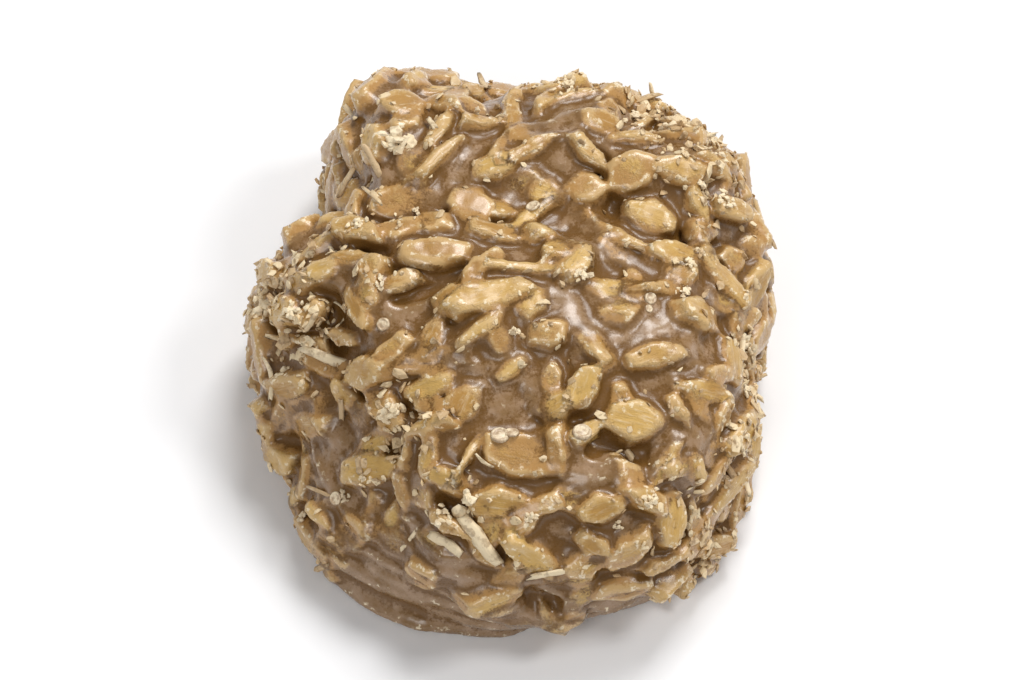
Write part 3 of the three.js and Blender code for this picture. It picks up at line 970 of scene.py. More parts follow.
def relief(points, octaves):
    """Uneven heights at points, with finer unevenness for each octave more."""
    kind = (FRACTAL_FALL, FRACTAL_STEP, octaves)
    return np.array([noise_kit.fractal(Vector(point), *kind) for point in points])


def roughen(vertices, normals):
    """Moves the skin in and out by a fine grain and by level folds, all but the flat underside."""
    free = np.clip(vertices[:, 2] / ROUGH_HEIGHT, 0, 1)
    grain = relief(vertices / GRAIN_LENGTH, 3)
    folds = relief(vertices / FOLD_LENGTH * FOLD_STRETCH, 2)
    steep = np.sqrt(np.clip(1 - np.abs(normals[:, 2]), 0, 1)) * pool_share(*vertices.T)
    out = GRAIN_DEPTH * grain * free + FOLD_DEPTH * folds * steep * free
    return vertices + normals * out[:, None]


def crest_heights(vertices, quads, normals):
    """How far each point stands above the skin around it, negative in creases."""
    edges = np.concatenate([quads[:, [i, (i + 1) % 4]] for i in range(4)])
    count = np.bincount(edges[:, 0], minlength=len(vertices))
    smooth = vertices
    for _ in range(CREST_ROUNDS):
        near = smooth[edges[:, 1]]
        total = [np.bincount(edges[:, 0], near[:, i], len(vertices)) for i in range(3)]
        smooth = np.stack(total, axis=1) / count[:, None]
    return ((vertices - smooth) * normals).sum(axis=1)


def largest_part(vertices, quads):
    """Drops what a sealed hollow or a loose scrap leaves beside the skin."""
    label = np.arange(len(vertices))
    edges = np.concatenate([quads[:, [i, (i + 1) % 4]] for i in range(4)])
    while True:
        low = np.minimum(label[edges[:, 0]], label[edges[:, 1]])
        joined = label.copy()
        np.minimum.at(joined, edges[:, 0], low)
        np.minimum.at(joined, edges[:, 1], low)
        joined = joined[joined]
        if np.array_equal(joined, label):
            break
        label = joined
    largest = np.bincount(label).argmax()
    kept = label == largest
    number = np.cumsum(kept) - 1
    return vertices[kept], number[quads[kept[quads[:, 0]]]]


def sample(field, low, step, points):
    """The field's values at points between the grid's."""
    spot = np.clip((points - low) / step, 0, np.array(field.shape) - 1.001)
    cell = np.floor(spot).astype(int)
    share = spot - cell
    total = np.zeros(len(points))
    for offset in np.ndindex(2, 2, 2):
        weight = np.prod(np.where(offset, share, 1 - share), axis=1)
        total += weight * field[tuple((cell + offset).T)]
    return total


def nearest_chips(points, chips):
    """What each point takes from the nearest chip.

    That is how far it is, its tone and its coat, the point in its frame, and how near its middle.
    """
    film = np.full(len(points), NO_CHIP_NEAR)
    core = np.zeros(len(points))
    tone = np.zeros(len(points))
    coat = np.zeros(len(points))
    grain = np.zeros((len(points), 3))
    for chip in chips:
        reach = chip["length"] / 2 + FILM_REACH
        near = np.flatnonzero((np.abs(points - np.array(chip["place"])) < reach).all(axis=1))
        away = chip_distance(chip, points[near])
        closer = near[away < film[near]]
        film[closer] = away[away < film[near]]
        tone[closer] = chip["tone"]
        coat[closer] = chip["coat"]
        place = chip_frame(chip, points[closer])
        sides = slice(0, chip["sides"])
        rim = (place @ chip["faces"][sides].T / chip["reaches"][sides]).max(axis=1)
        core[closer] = np.clip(1 - rim, 0, 1)
        grain[closer] = place + STREAK_SHIFT * chip["tone"]
    return film, tone, coat, grain, core


def add_mesh_object(name, vertices, faces, smooth=True):
    """A piece of the rock from millimetres in the mound's own frame."""
    mesh = bpy.data.meshes.new(name)
    mesh.from_pydata(((vertices + SHIFT) * MM).tolist(), [], faces.tolist())
    if smooth:
        mesh.shade_smooth()
    piece = bpy.data.objects.new(name, mesh)
    bpy.context.scene.collection.objects.link(piece)
    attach(piece, "root")
    return piece


def add_attribute(piece, name, values, kind="FLOAT"):
    """Keeps one value, or one vector, for each vertex of a piece."""
    attribute = piece.data.attributes.new(name, kind, "POINT")
    key = "value" if kind == "FLOAT" else "vector"
    attribute.data.foreach_set(key, np.ascontiguousarray(values, dtype=np.float32).ravel())


def put(tree, socket, value):
    """Joins a socket to another's output, or sets its own value."""
    if isinstance(value, bpy.types.NodeSocket):
        tree.links.new(value, socket)
    else:
        socket.default_value = value


def add_node(tree, kind, inputs=None, **settings):
    """A node with its settings and its inputs, by name or number."""
    node = tree.nodes.new(kind)
    for key, value in settings.items():
        setattr(node, key, value)
    for key, value in (inputs or {}).items():
        put(tree, node.inputs[key], value)
    return node


def mix_colour(tree, share, first, second):
    """One colour over another, by a share from 0 to 1."""
    inputs = {0: share, 6: first, 7: second}
    return add_node(tree, "ShaderNodeMix", inputs, data_type="RGBA").outputs[2]


def ramp(tree, value, low, high, start=0.0, end=1.0):
    """A value's smooth change from start at low to end at high."""
    inputs = {"Value": value, "From Min": low, "From Max": high, "To Min": start, "To Max": end}
    kind = {"interpolation_type": "SMOOTHSTEP"}
    return add_node(tree, "ShaderNodeMapRange", inputs, **kind).outputs["Result"]


def combine(tree, first, second, operation="ADD"):
    """Two values added, or joined by another operation."""
    inputs = {0: first, 1: second}
    return add_node(tree, "ShaderNodeMath", inputs, operation=operation).outputs[0]


def noise(tree, place, scale, detail=3.0, roughness=0.55, distortion=0.0):
    """Uneven values from about 0.3 to 0.7, scale of them to each unit of place."""
    inputs = {
        "Vector": place,
        "Scale": scale,
        "Detail": detail,
        "Roughness": roughness,
        "Distortion": distortion,
    }
    return add_node(tree, "ShaderNodeTexNoise", inputs).outputs["Fac"]


def attribute(tree, name, output="Fac"):
    """A value that the piece keeps for each of its points."""
    kind = {"attribute_name": name, "attribute_type": "GEOMETRY"}
    return add_node(tree, "ShaderNodeAttribute", **kind).outputs[output]


def millimetres(tree):
    """Places on the piece, counted in millimetres."""
    place = add_node(tree, "ShaderNodeTexCoord").outputs["Object"]
    inputs = {0: place, "Scale": 1 / MM}
    return add_node(tree, "ShaderNodeVectorMath", inputs, operation="SCALE").outputs["Vector"]


def rgba(colour):
    """A colour with nothing let through."""
    return (*colour, 1)


def uneven(tree, value, unevenness, most):
    """A value moved up and down with a noise, by no more than most."""
    return combine(tree, value, ramp(tree, unevenness, 0.3, 0.7, -most, most))


def new_group(name, inputs, outputs):
    """A node group with named inputs and outputs: its tree, its input node and its output node."""
    tree = bpy.data.node_groups.new(name, "ShaderNodeTree")
    for label, kind, default in inputs:
        socket = tree.interface.new_socket(label, in_out="INPUT", socket_type=kind)
        socket.default_value = default
    for label, kind in outputs:
        tree.interface.new_socket(label, in_out="OUTPUT", socket_type=kind)
    return tree, tree.nodes.new("NodeGroupInput"), tree.nodes.new("NodeGroupOutput")


def coconut_group(colours):
    """Toasted coconut: golden and paler streaks along a chip, browner in blotches."""
    tree, given, result = new_group(
        "Toasted coconut",
        [
            ("Along", "NodeSocketVector", (0.0, 0.0, 0.0)),
            ("Toast", "NodeSocketFloat", 0.5),
        ],
        [("Color", "NodeSocketColor"), ("Height", "NodeSocketFloat")],
    )
    stretched = add_node(
        tree,
        "ShaderNodeVectorMath",
        {0: given.outputs["Along"], 1: (0.35, 2.2, 2.2)},
        operation="MULTIPLY",
    ).outputs["Vector"]
    streaks = noise(tree, stretched, 1.6, 5.0, 0.62, 0.3)
    blotches = noise(tree, given.outputs["Along"], 0.55, 3.0, 0.6)
    toast = combine(tree, given.outputs["Toast"], combine(tree, blotches, 0.5, "SUBTRACT"))
    browned = ramp(tree, toast, 0.15, 0.85)
    base = mix_colour(tree, browned, rgba(colours.coconut), rgba(colours.toasted))
    pale = mix_colour(tree, ramp(tree, streaks, 0.5, 0.74, 0.0, 0.5), base, rgba(colours.cream))
    put(tree, result.inputs["Color"], pale)
    put(tree, result.inputs["Height"], streaks)
    return tree


def use_group(tree, group, inputs):
    """A node that stands for a whole group, with its inputs by name."""
    node = tree.nodes.new("ShaderNodeGroup")
    node.node_tree = group
    for key, value in inputs.items():
        put(tree, node.inputs[key], value)
    return node


def new_material(name):
    """A material's tree and its shader, with nothing else joined yet."""
    material = bpy.data.materials.new(name)
    material.use_nodes = True
    return material, material.node_tree, material.node_tree.nodes["Principled BSDF"]


def add_bump(tree, shader, height, depth_mm, normal=None):
    """Fine relief of the given depth in millimetres."""
    inputs = {"Height": height, "Strength": 1.0, "Distance": depth_mm * MM}
    if normal is not None:
        inputs["Normal"] = normal
    bump = add_node(tree, "ShaderNodeBump", inputs).outputs["Normal"]
    put(tree, shader.inputs["Normal"], bump)
    return bump


def melted_colour(tree, patchy, fine, colours):
    """Milk chocolate, paler and pinker in patches and in fine specks, whose pink tint also paints
    part of the sheen.
    """
    share = ramp(tree, patchy, 0.35, 0.68)
    melt = mix_colour(tree, share, rgba(colours.chocolate), rgba(colours.pool))
    return mix_colour(tree, ramp(tree, fine, 0.55, 0.8, 0.0, 0.35), melt, rgba(colours.pool))


def bare_share(tree, rise):
    """How bare a chip is: most where it stands out, at its middle, and if its coat is thin."""
    coat = ramp(tree, attribute(tree, "coat"), 0.0, 1.0, 0.0, 0.9)
    bare = combine(tree, rise, coat, "SUBTRACT")
    bare = combine(tree, bare, ramp(tree, attribute(tree, "core"), 0.0, 0.6, -0.3, 0.4))
    return ramp(tree, bare, 0.1, 0.8, 0.0, 0.8)


def fleck_share(tree, place, patchy):
    """How much of the chips just under the flat underside shows."""
    inputs = {"Vector": place, "Scale": 0.42, "Randomness": 1.0}
    cells = add_node(tree, "ShaderNodeTexVoronoi", inputs, feature="F1").outputs["Distance"]
    flecks = ramp(tree, uneven(tree, cells, patchy, 0.25), 0.25, 0.45, 0.4, 0.0)
    return combine(tree, attribute(tree, "under"), flecks, "MULTIPLY")


def painted_shade_share(tree, film, crest, patchy, fine):
    """How much shade is painted: in hollows and creases, and along a thin broken line beside each
    chip, where shade falls.
    """
    hollow = uneven(tree, attribute(tree, "hollow"), fine, 0.1)
    shade = ramp(tree, hollow, 0.28, 0.95, 0.0, 0.85)
    shade = combine(tree, shade, ramp(tree, crest, -0.012, -0.09, 0.0, 0.9), "MAXIMUM")
    beside = uneven(tree, film, fine, 0.06)
    line = combine(tree, ramp(tree, beside, 0.1, 0.22), ramp(tree, beside, 0.5, 0.28), "MULTIPLY")
    line = combine(tree, line, ramp(tree, patchy, 0.35, 0.6, 0.3, 0.9), "MULTIPLY")
    return combine(tree, shade, line, "MAXIMUM")


def coated_material(colours):
    """Milk chocolate that thins to a golden film over the chips, with shade painted into its
    creases and beside its chips.
    """
    material, tree, shader = new_material("coated_coconut")
    place = millimetres(tree)
    film = attribute(tree, "film")
    patchy = noise(tree, place, 0.9, 4.0, 0.6)
    fine = noise(tree, place, 4.5, 4.0, 0.65)

    rise = uneven(tree, attribute(tree, "rise"), patchy, 0.2)
    rise = combine(tree, uneven(tree, rise, fine, 0.12), film, "SUBTRACT")
    melt = melted_colour(tree, patchy, fine, colours)
    glazed = mix_colour(tree, ramp(tree, rise, 0.1, 0.55), melt, rgba(colours.glaze))
    inputs = {"Along": attribute(tree, "grain", "Vector"), "Toast": attribute(tree, "tone")}
    chip = use_group(tree, bpy.data.node_groups["Toasted coconut"], inputs)
    shown = bare_share(tree, rise)
    colour = mix_colour(tree, shown, glazed, chip.outputs["Color"])
    colour = mix_colour(tree, fleck_share(tree, place, patchy), colour, rgba(colours.coconut))

    crest = uneven(tree, attribute(tree, "crest"), fine, 0.03)
    # Pale coconut rubbed bare on the chips' crests, which also paints glints along them.
    edges = ramp(tree, crest, 0.05, 0.14, 0.0, 0.62)
    edges = combine(tree, edges, ramp(tree, rise, -0.1, 0.2), "MULTIPLY")
    colour = mix_colour(tree, edges, colour, rgba(colours.edge))
    # Cream flecks on the crests, which also paint glints there.
    specks = ramp(tree, noise(tree, place, 1.9, 3.0, 0.6), 0.56, 0.64, 0.0, 0.85)
    specks = combine(tree, specks, ramp(tree, crest, 0.03, 0.12), "MULTIPLY")
    colour = mix_colour(tree, specks, colour, rgba(colours.cream))
    # Painted shade: darker colour in hollows, creases and beside each chip, where shade falls.
    shade = painted_shade_share(tree, film, crest, patchy, fine)
    colour = mix_colour(tree, shade, colour, rgba(colours.crease_shade))
    put(tree, shader.inputs["Base Color"], colour)

    gloss = ramp(tree, fine, 0.3, 0.75, 0.24, 0.4)
    gloss = combine(tree, gloss, ramp(tree, shown, 0.0, 1.0, 0.0, 0.1))
    put(tree, shader.inputs["Roughness"], gloss)
    dull = combine(tree, shade, shown, "MAXIMUM")
    put(tree, shader.inputs["Coat Weight"], ramp(tree, dull, 0.0, 1.0, 0.8, 0.4))
    shader.inputs["Coat Roughness"].default_value = 0.22
    shader.inputs["Specular IOR Level"].default_value = 0.22

    skin_bump = add_bump(tree, shader, fine, 0.04)
    streaks = combine(tree, chip.outputs["Height"], shown, "MULTIPLY")
    add_bump(tree, shader, streaks, 0.14, skin_bump)
    return material


def bare_material(name, colours, cream_share, smear_share):
    """Bare coconut, drier and paler than under the coat, smeared with chocolate in places."""
    material, tree, shader = new_material(name)
    place = millimetres(tree)
    tone = attribute(tree, "tone")
    inputs = {"Along": attribute(tree, "grain", "Vector"), "Toast": tone}
    chip = use_group(tree, bpy.data.node_groups["Toasted coconut"], inputs)
    pale = ramp(tree, tone, 0.0, 1.0, cream_share, cream_share * 0.35)
    colour = mix_colour(tree, pale, chip.outputs["Color"], rgba(colours.cream))
    smear = noise(tree, place, 1.4, 3.0, 0.6)
    smeared = ramp(tree, smear, 0.51, 0.65, 0.0, smear_share)
    colour = mix_colour(tree, smeared, colour, rgba(colours.chocolate))
    put(tree, shader.inputs["Base Color"], colour)
    put(tree, shader.inputs["Roughness"], ramp(tree, smear, 0.4, 0.65, 0.62, 0.42))
    add_bump(tree, shader, chip.outputs["Height"], 0.08)
    return material


def bubble_material(colours):
    """A thin skin of chocolate over air, pale cream in noisy patches: partly its thin skin, partly
    a painted highlight on the rims.
    """
    material, tree, shader = new_material("bubble_rims")
    thin = noise(tree, millimetres(tree), 2.2, 3.0, 0.6)
    # Painted highlight: cream over the rims in noisy patches.
    share = ramp(tree, thin, 0.4, 0.62, 0.2, 0.8)
    colour = mix_colour(tree, share, rgba(colours.pool), rgba(colours.cream))
    put(tree, shader.inputs["Base Color"], colour)
    put(tree, shader.inputs["Roughness"], ramp(tree, thin, 0.3, 0.7, 0.3, 0.45))
    add_bump(tree, shader, thin, 0.03)
    return material


def floor_material(colours):
    """A plain pale floor, with the least unevenness."""
    material, tree, shader = new_material("pale_floor")
    place = millimetres(tree)
    cloud = noise(tree, place, 0.004, 2.0)
    light = tuple(min(1.0, part * 1.01) for part in colours.floor)
    colour = mix_colour(tree, cloud, rgba(colours.floor), rgba(light))
    put(tree, shader.inputs["Base Color"], colour)
    shader.inputs["Roughness"].default_value = 0.9
    shader.inputs["Specular IOR Level"].default_value = 0.1
    return material


def make_body(sizes, colours):
    """The coated mound, meshed from its field, with what its material reads."""
    step = sizes.grid_step / MM
    shape_chips(CHIPS, np.random.default_rng(CHIP_SEED))
    coat_named()
    chips = CHIPS + lay_fillers()
    field, melt, low = build_field(step, chips)
    vertices, quads = largest_part(*surface_net(field, low, step))
    vertices = roughen(vertices, vertex_normals(vertices, quads))
    piece = add_mesh_object("coated_mound", vertices, quads)
    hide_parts("rock")
    normals = vertex_normals(vertices, quads)
    film, tone, coat, grain, core = nearest_chips(vertices, chips)
    # How closed in each point is, which sets how much shade is painted there.
    outside = sample(field, low, step, vertices + normals * HOLLOW_REACH)
    hollow = 1 - np.clip(outside / HOLLOW_REACH, 0, 1)
    crest = crest_heights(vertices, quads, normals)
    add_attribute(piece, "film", np.clip(film, *FILM_RANGE))
    rise = sample(melt, low, step, vertices)
    add_attribute(piece, "rise", np.clip(rise, *RISE_RANGE))
    add_attribute(piece, "tone", tone)
    add_attribute(piece, "coat", coat)
    add_attribute(piece, "core", core)
    add_attribute(piece, "grain", grain, "FLOAT_VECTOR")
    add_attribute(piece, "hollow", hollow)
    add_attribute(piece, "crest", crest)
    add_attribute(piece, "under", (vertices[:, 2] < UNDERSIDE_HEIGHT).astype(float))
    piece.data.materials.append(coated_material(colours))


def pick_sites(vertices, weights, count, apart, random):
    """Points of the skin drawn by weight, none closer to another than apart."""
    tries = min(count * TRIES_FOR_EACH, len(vertices))
    order = random.choice(len(vertices), size=tries, replace=False, p=weights / weights.sum())
    cells = {}
    sites = []
    for index in order:
        key = tuple((vertices[index] / apart).astype(int))
        if key in cells:
            continue
        cells[key] = True
        sites.append(index)
        if len(sites) == count:
            break
    return np.array(sites)


def turned_axes(normals, tilt, random):
    """Three directions for each normal: along the skin at random, across, and out, a bit tilted."""
    out = normals + random.normal(0, tilt, normals.shape)
    out /= np.linalg.norm(out, axis=1)[:, None]
    along = np.cross(out, random.normal(size=normals.shape))
    along /= np.linalg.norm(along, axis=1)[:, None]
    return np.stack([along, np.cross(out, along), out], axis=1)


def ball_form():
    """A rough ball of 20 facets, of radius 1."""
    form = bmesh.new()
    bmesh.ops.create_icosphere(form, subdivisions=1, radius=1)
    points = np.array([vertex.co for vertex in form.verts])
    faces = np.array([[vertex.index for vertex in face.verts] for face in form.faces])
    form.free()
    return points, faces


def strip_form(sides, rings):
    """A closed strip along X from -1 to 1, of radius 1, blunt at its ends."""
    turnings = 2 * math.pi * np.arange(sides) / sides
    points = []
    for ring in range(rings):
        x = -1 + 2 * ring / (rings - 1)
        radius = STRIP_END if ring in (0, rings - 1) else 1.0
        points += [(x, radius * math.cos(angle), radius * math.sin(angle)) for angle in turnings]
    points += [(-1.0, 0.0, 0.0), (1.0, 0.0, 0.0)]
    faces = []
    for ring in range(rings - 1):
        for side in range(sides):
            a = ring * sides + side
            b = ring * sides + (side + 1) % sides
            faces += [(a, a + sides, b), (b, a + sides, b + sides)]
    start, end = rings * sides, rings * sides + 1
    last = (rings - 1) * sides
    for side in range(sides):
        following = (side + 1) % sides
        faces += [(start, side, following), (end, last + following, last + side)]
    return np.array(points), np.array(faces)


def lathe_form(profile, around):
    """A closed form turned about Z from its profile of radii and heights, whose ends lie on Z."""
    angles = 2 * math.pi * np.arange(around) / around
    points = [(0, 0, profile[0][1])]
    for radius, height in profile[1:-1]:
        points += [(radius * math.cos(a), radius * math.sin(a), height) for a in angles]
    points.append((0, 0, profile[-1][1]))
    faces = []
    last = len(profile) - 3
    for side in range(around):
        following = (side + 1) % around
        faces.append((0, 1 + side, 1 + following))
        for ring in range(last):
            a = 1 + ring * around + side
            b = 1 + ring * around + following
            faces += [(a, a + around, b + around), (a, b + around, b)]
        rim = 1 + last * around
        faces.append((len(points) - 1, rim + following, rim + side))
    return np.array(points), np.array(faces)


class Copies:
    """Where the copies of a form lie: their places, axes, half sizes, bends and tones."""

    def __init__(self, places, axes, scales, bends, tones):
        self.places = places
        self.axes = axes
        self.scales = scales
        self.bends = bends
        self.tones = tones

    def within_box(self):
        """Only the copies that keep inside the part's box, with a little room."""
        room = BOX_ROOM * np.array(ROCK_SIZE) / MM
        reach = self.scales.max(axis=1)[:, None]
        seat = self.places + SHIFT
        over = seat + reach > np.array(ROCK_HIGH) / MM + room
        room_below = room * np.array([1, 1, 0])
        under = seat - reach < np.array(ROCK_LOW) / MM - room_below
        kept = ~(over | under).any(axis=1)
        fields = (self.places, self.axes, self.scales, self.bends, self.tones)
        return Copies(*(values[kept] for values in fields))


def scatter(name, form, copies, jitter, material, smooth=True):
    """One joined piece of many copies of a form, each with its own size, bend and rough skin."""
    copies = copies.within_box()
    count = len(copies.places)
    random = np.random.default_rng(count)
    points, faces = form
    shaped = np.repeat(points[None], count, axis=0)
    shaped = shaped * (1 + random.uniform(-jitter, jitter, (count, len(points), 1)))
    shaped = shaped * copies.scales[:, None, :]
    shaped[:, :, 2] += copies.bends[:, None] * (points[None, :, 0] ** 2 - COPY_BEND_LEVEL)
    grain = shaped + COPY_STREAK_SHIFT * copies.tones[:, None, None]
    vertices = np.einsum("nij,njk->nik", shaped, copies.axes) + copies.places[:, None, :]
    joined = (faces[None] + (np.arange(count) * len(points))[:, None, None]).reshape(-1, 3)
    piece = add_mesh_object(name, vertices.reshape(-1, 3), joined, smooth)
    add_attribute(piece, "grain", grain.reshape(-1, 3), "FLOAT_VECTOR")
    add_attribute(piece, "tone", np.repeat(copies.tones, len(points)))
    piece.data.materials.append(material)
    return piece


def skin_point(points, x, y):
    """The number of the skin's point that shows at x and y from above."""
    away = np.hypot(points[:, 0] - x, points[:, 1] - y)
    return np.argmin(away - HEIGHT_PULL * points[:, 2])


def read_skin():
    """The coated mound's points and normals, in its own frame in millimetres, and its values."""
    mesh = bpy.data.objects["coated_mound"].data
    count = len(mesh.vertices)
    vectors = {"co": np.empty(count * 3), "normal": np.empty(count * 3)}
    values = {name: np.empty(count) for name in ("film", "crest")}
    for name, store in vectors.items():
        mesh.vertices.foreach_get(name, store)
    for name, store in values.items():
        mesh.attributes[name].data.foreach_get("value", store)
    points = vectors["co"].reshape(-1, 3) / MM - SHIFT
    return points, vectors["normal"].reshape(-1, 3), values


def patch_weights(points, patches):
    """How strongly each point belongs to the named patches, seen from above."""
    total = np.zeros(len(points))
    for patch in patches:
        away = np.hypot(points[:, 0] - patch["x"], points[:, 1] - patch["y"])
        total += patch["amount"] * bell(away, patch["spread"])
    return total


def on_rim(normals, slope):
    """From 0 to 1 for how near the skin is to a slope, as it is on the rim."""
    return np.clip(1 - np.abs(normals[:, 2] - slope) / RIM_SLOPE_SPREAD, 0, 1)


def crumb_weights(points, normals, crest, patch):
    """How many crumbs stick at each point: most on edges, the rim and patches, few in pools."""
    high = np.clip(points[:, 2] / CRUMBS["above_sheet"], 0, 1)
    rim = on_rim(normals, CRUMBS["rim_slope"])
    free = 1 - CRUMBS["out_of_pools"] * pool_share(*points.T)
    dry = np.clip(ripple(*points.T, **CRUMB_RIPPLE), 0, 1) ** 2
    edge = np.clip(crest / CRUMBS["edge_height"], 0, 1)
    shares = CRUMB_SHARES
    weights = shares["anywhere"] + shares["edges"] * edge + shares["rim"] * rim * dry + patch
    return weights * (free * high * (normals[:, 2] > CRUMBS["least_slope"]) + 1e-9)


def make_crumbs(sizes, colours):
    """Dry crumbs of coconut, thick on the rim, the walls and the named patches."""
    random = np.random.default_rng(CRUMB_SEED)
    points, normals, values = read_skin()
    patch = patch_weights(points, CRUMB_PATCHES)
    weights = crumb_weights(points, normals, values["crest"], patch)
    sites = pick_sites(points, weights, sizes.crumb_count, CRUMBS["apart"], random)
    count = len(sites)
    size = sizes.crumb_size / MM * random.lognormal(0, CRUMBS["spread"], count)
    fullness = np.clip(patch[sites] / CRUMBS["full_patch"], 0, 1)
    size *= 1 + CRUMBS["more_in_patches"] * fullness
    lengths = size * random.uniform(*CRUMBS["length"], count)
    widths = size * random.uniform(*CRUMBS["width"], count)
    scales = np.stack([lengths, widths, size * CRUMBS["thick"]], axis=1) / 2
    axes = turned_axes(normals[sites], CRUMBS["tilt"], random)
    places = points[sites] + normals[sites] * (size * CRUMBS["seat"])[:, None]
    tones = random.uniform(0, 1, count)
    material = bare_material("dry_crumbs", colours, cream_share=0.75, smear_share=0.8)
    copies = Copies(places, axes, scales, np.zeros(count), tones)
    scatter("coconut_crumbs", ball_form(), copies, CRUMBS["jitter"], material, smooth=False)


def make_lumps(colours):
    """Rough pale lumps of coconut, each of some broken bits."""
    random = np.random.default_rng(LUMP_SEED)
    points, normals, _ = read_skin()
    bits = LUMP_BITS["count"]
    places, axes, widths = [], [], []
    for x, y, width in LUMPS_OF_CREAM:
        near = skin_point(points, x, y)
        out = np.repeat(normals[near][None], bits, axis=0)
        turned = turned_axes(out, LUMP_BITS["tilt"], random)
        spread = random.normal(0, LUMP_BITS["spread"], (bits, 2))
        heap = LUMP_BITS["heap"] * bell(np.hypot(*spread.T), LUMP_BITS["spread"])
        heap *= random.uniform(0, 1, bits)
        off = spread[:, :1] * turned[0, 0] + spread[:, 1:] * turned[0, 1]
        places.append(points[near] + width * (off + heap[:, None] * normals[near]))
        axes.append(turned)
        widths.append(width * random.uniform(*LUMP_BITS["size"], bits))
    places = np.concatenate(places)
    axes = np.concatenate(axes)
    widths = np.concatenate(widths)
    count = len(places)
    narrow = random.uniform(*LUMP_BITS["width"], count)
    flat = np.stack([np.ones(count), narrow, np.full(count, LUMP_BITS["thick"])], axis=1)
    scales = widths[:, None] * flat / 2
    tones = random.uniform(*LUMP_BITS["tone"], count)
    copies = Copies(places, axes, scales, np.zeros(count), tones)
    material = bare_material("pale_lumps", colours, cream_share=0.95, smear_share=0.4)
    scatter("coconut_lumps", ball_form(), copies, LUMP_BITS["jitter"], material, smooth=False)


def named_shreds(points, normals):
    """The places, axes and half sizes of the named shreds."""
    places, axes, scales = [], [], []
    for shred in SHREDS:
        lay = {**SHRED_LAY, "heading": shred["heading"], "lean": shred["lean"]}
        laid = lay_chip({**above(shred["x"], shred["y"]), **lay}, {})
        near = skin_point(points, *laid["place"][:2])
        places.append(points[near] + normals[near] * SHRED_SEAT)
        axes.append([laid["along"], laid["across"], laid["face"]])
        scales.append([shred["length"], shred["width"], SHRED_THICK * shred["width"]])
    return np.array(places), np.array(axes), np.array(scales) / 2


def drawn_shreds(points, normals, film, count, random):
    """The places, axes and half sizes of shreds drawn on the rim, the patches and the chips."""
    patches = patch_weights(points, CRUMB_PATCHES)
    free = (points[:, 2] > DRAWN_SHREDS["above_sheet"]) * (film < DRAWN_SHREDS["off_chips"])
    rim = on_rim(normals, DRAWN_SHREDS["rim_slope"])
    weights = (DRAWN_SHREDS["anywhere"] + rim + patches) * free + 1e-9
    sites = pick_sites(points, weights, count, DRAWN_SHREDS["apart"], random)
    length = random.uniform(*DRAWN_SHREDS["length"], len(sites))
    width = random.uniform(*DRAWN_SHREDS["width"], len(sites))
    thick = DRAWN_SHREDS["thick"] * width
    scales = np.stack([length, width, thick], axis=1) / 2
    places = points[sites] + normals[sites] * DRAWN_SHREDS["seat"]
    return places, turned_axes(normals[sites], DRAWN_SHREDS["tilt"], random), scales


def make_shreds(sizes, colours):
    """Thin bare shreds: the named ones, and more standing from the rim and the chips."""
    random = np.random.default_rng(SHRED_SEED)
    points, normals, values = read_skin()
    named = named_shreds(points, normals)
    drawn = drawn_shreds(points, normals, values["film"], sizes.shred_count, random)
    places, axes, scales = (np.concatenate(pair) for pair in zip(named, drawn))
    bends = random.uniform(*DRAWN_SHREDS["bend"], len(places))
    tones = random.uniform(0, 1, len(places))
    tones[: len(SHREDS)] = SHRED_TONE
    material = bare_material("bare_shreds", colours, cream_share=0.9, smear_share=0.5)
    copies = Copies(places, axes, scales, bends, tones)
    strip = strip_form(**STRIP_FORM)
    scatter("coconut_shreds", strip, copies, DRAWN_SHREDS["jitter"], material)


def make_bubbles(colours):
    """Rims of burst air bubbles in the smooth chocolate."""
    points, normals, _ = read_skin()
    places, axes, scales = [], [], []
    for bubble in BUBBLES:
        near = skin_point(points, bubble["x"], bubble["y"])
        out = normals[near]
        along = np.cross(out, (0, 1, 0))
        along /= np.linalg.norm(along)
        places.append(points[near] + out * BUBBLE_SEAT)
        axes.append([along, np.cross(out, along), out])
        scales.append([bubble["size"] / 2] * 3)
    places, axes, scales = (np.array(values) for values in (places, axes, scales))
    bends = np.zeros(len(places))
    copies = Copies(places, axes, scales, bends, bends)
    rim = lathe_form(BUBBLE_PROFILE, BUBBLE_SIDES)
    scatter("bubble_rims", rim, copies, BUBBLE_JITTER, bubble_material(colours))


def look_at(piece, place, target):
    """Moves a light or a camera to a place and turns it to face a target."""
    piece.location = place
    piece.rotation_euler = (Vector(target) - Vector(place)).to_track_quat("-Z", "Y").to_euler()


def around_rock(azimuth, elevation, distance):
    """A place seen from the rock, with azimuth 0 in front of it and growing to the right."""
    a = math.radians(azimuth)
    e = math.radians(elevation)
    level = distance * math.cos(e)
    return Vector((level * math.sin(a), -level * math.cos(a), distance * math.sin(e))) + VIEW_TARGET


def add_light(name, light):
    """A soft square light that faces the rock."""
    lamp = bpy.data.lights.new(name, "AREA")
    lamp.shape = "RECTANGLE"
    lamp.size = light["size"]
    lamp.size_y = light["size"]
    lamp.energy = light["power"]
    piece = bpy.data.objects.new(name, lamp)
    bpy.context.scene.collection.objects.link(piece)
    place = around_rock(light["azimuth"], light["elevation"], light["distance"])
    look_at(piece, place, VIEW_TARGET)


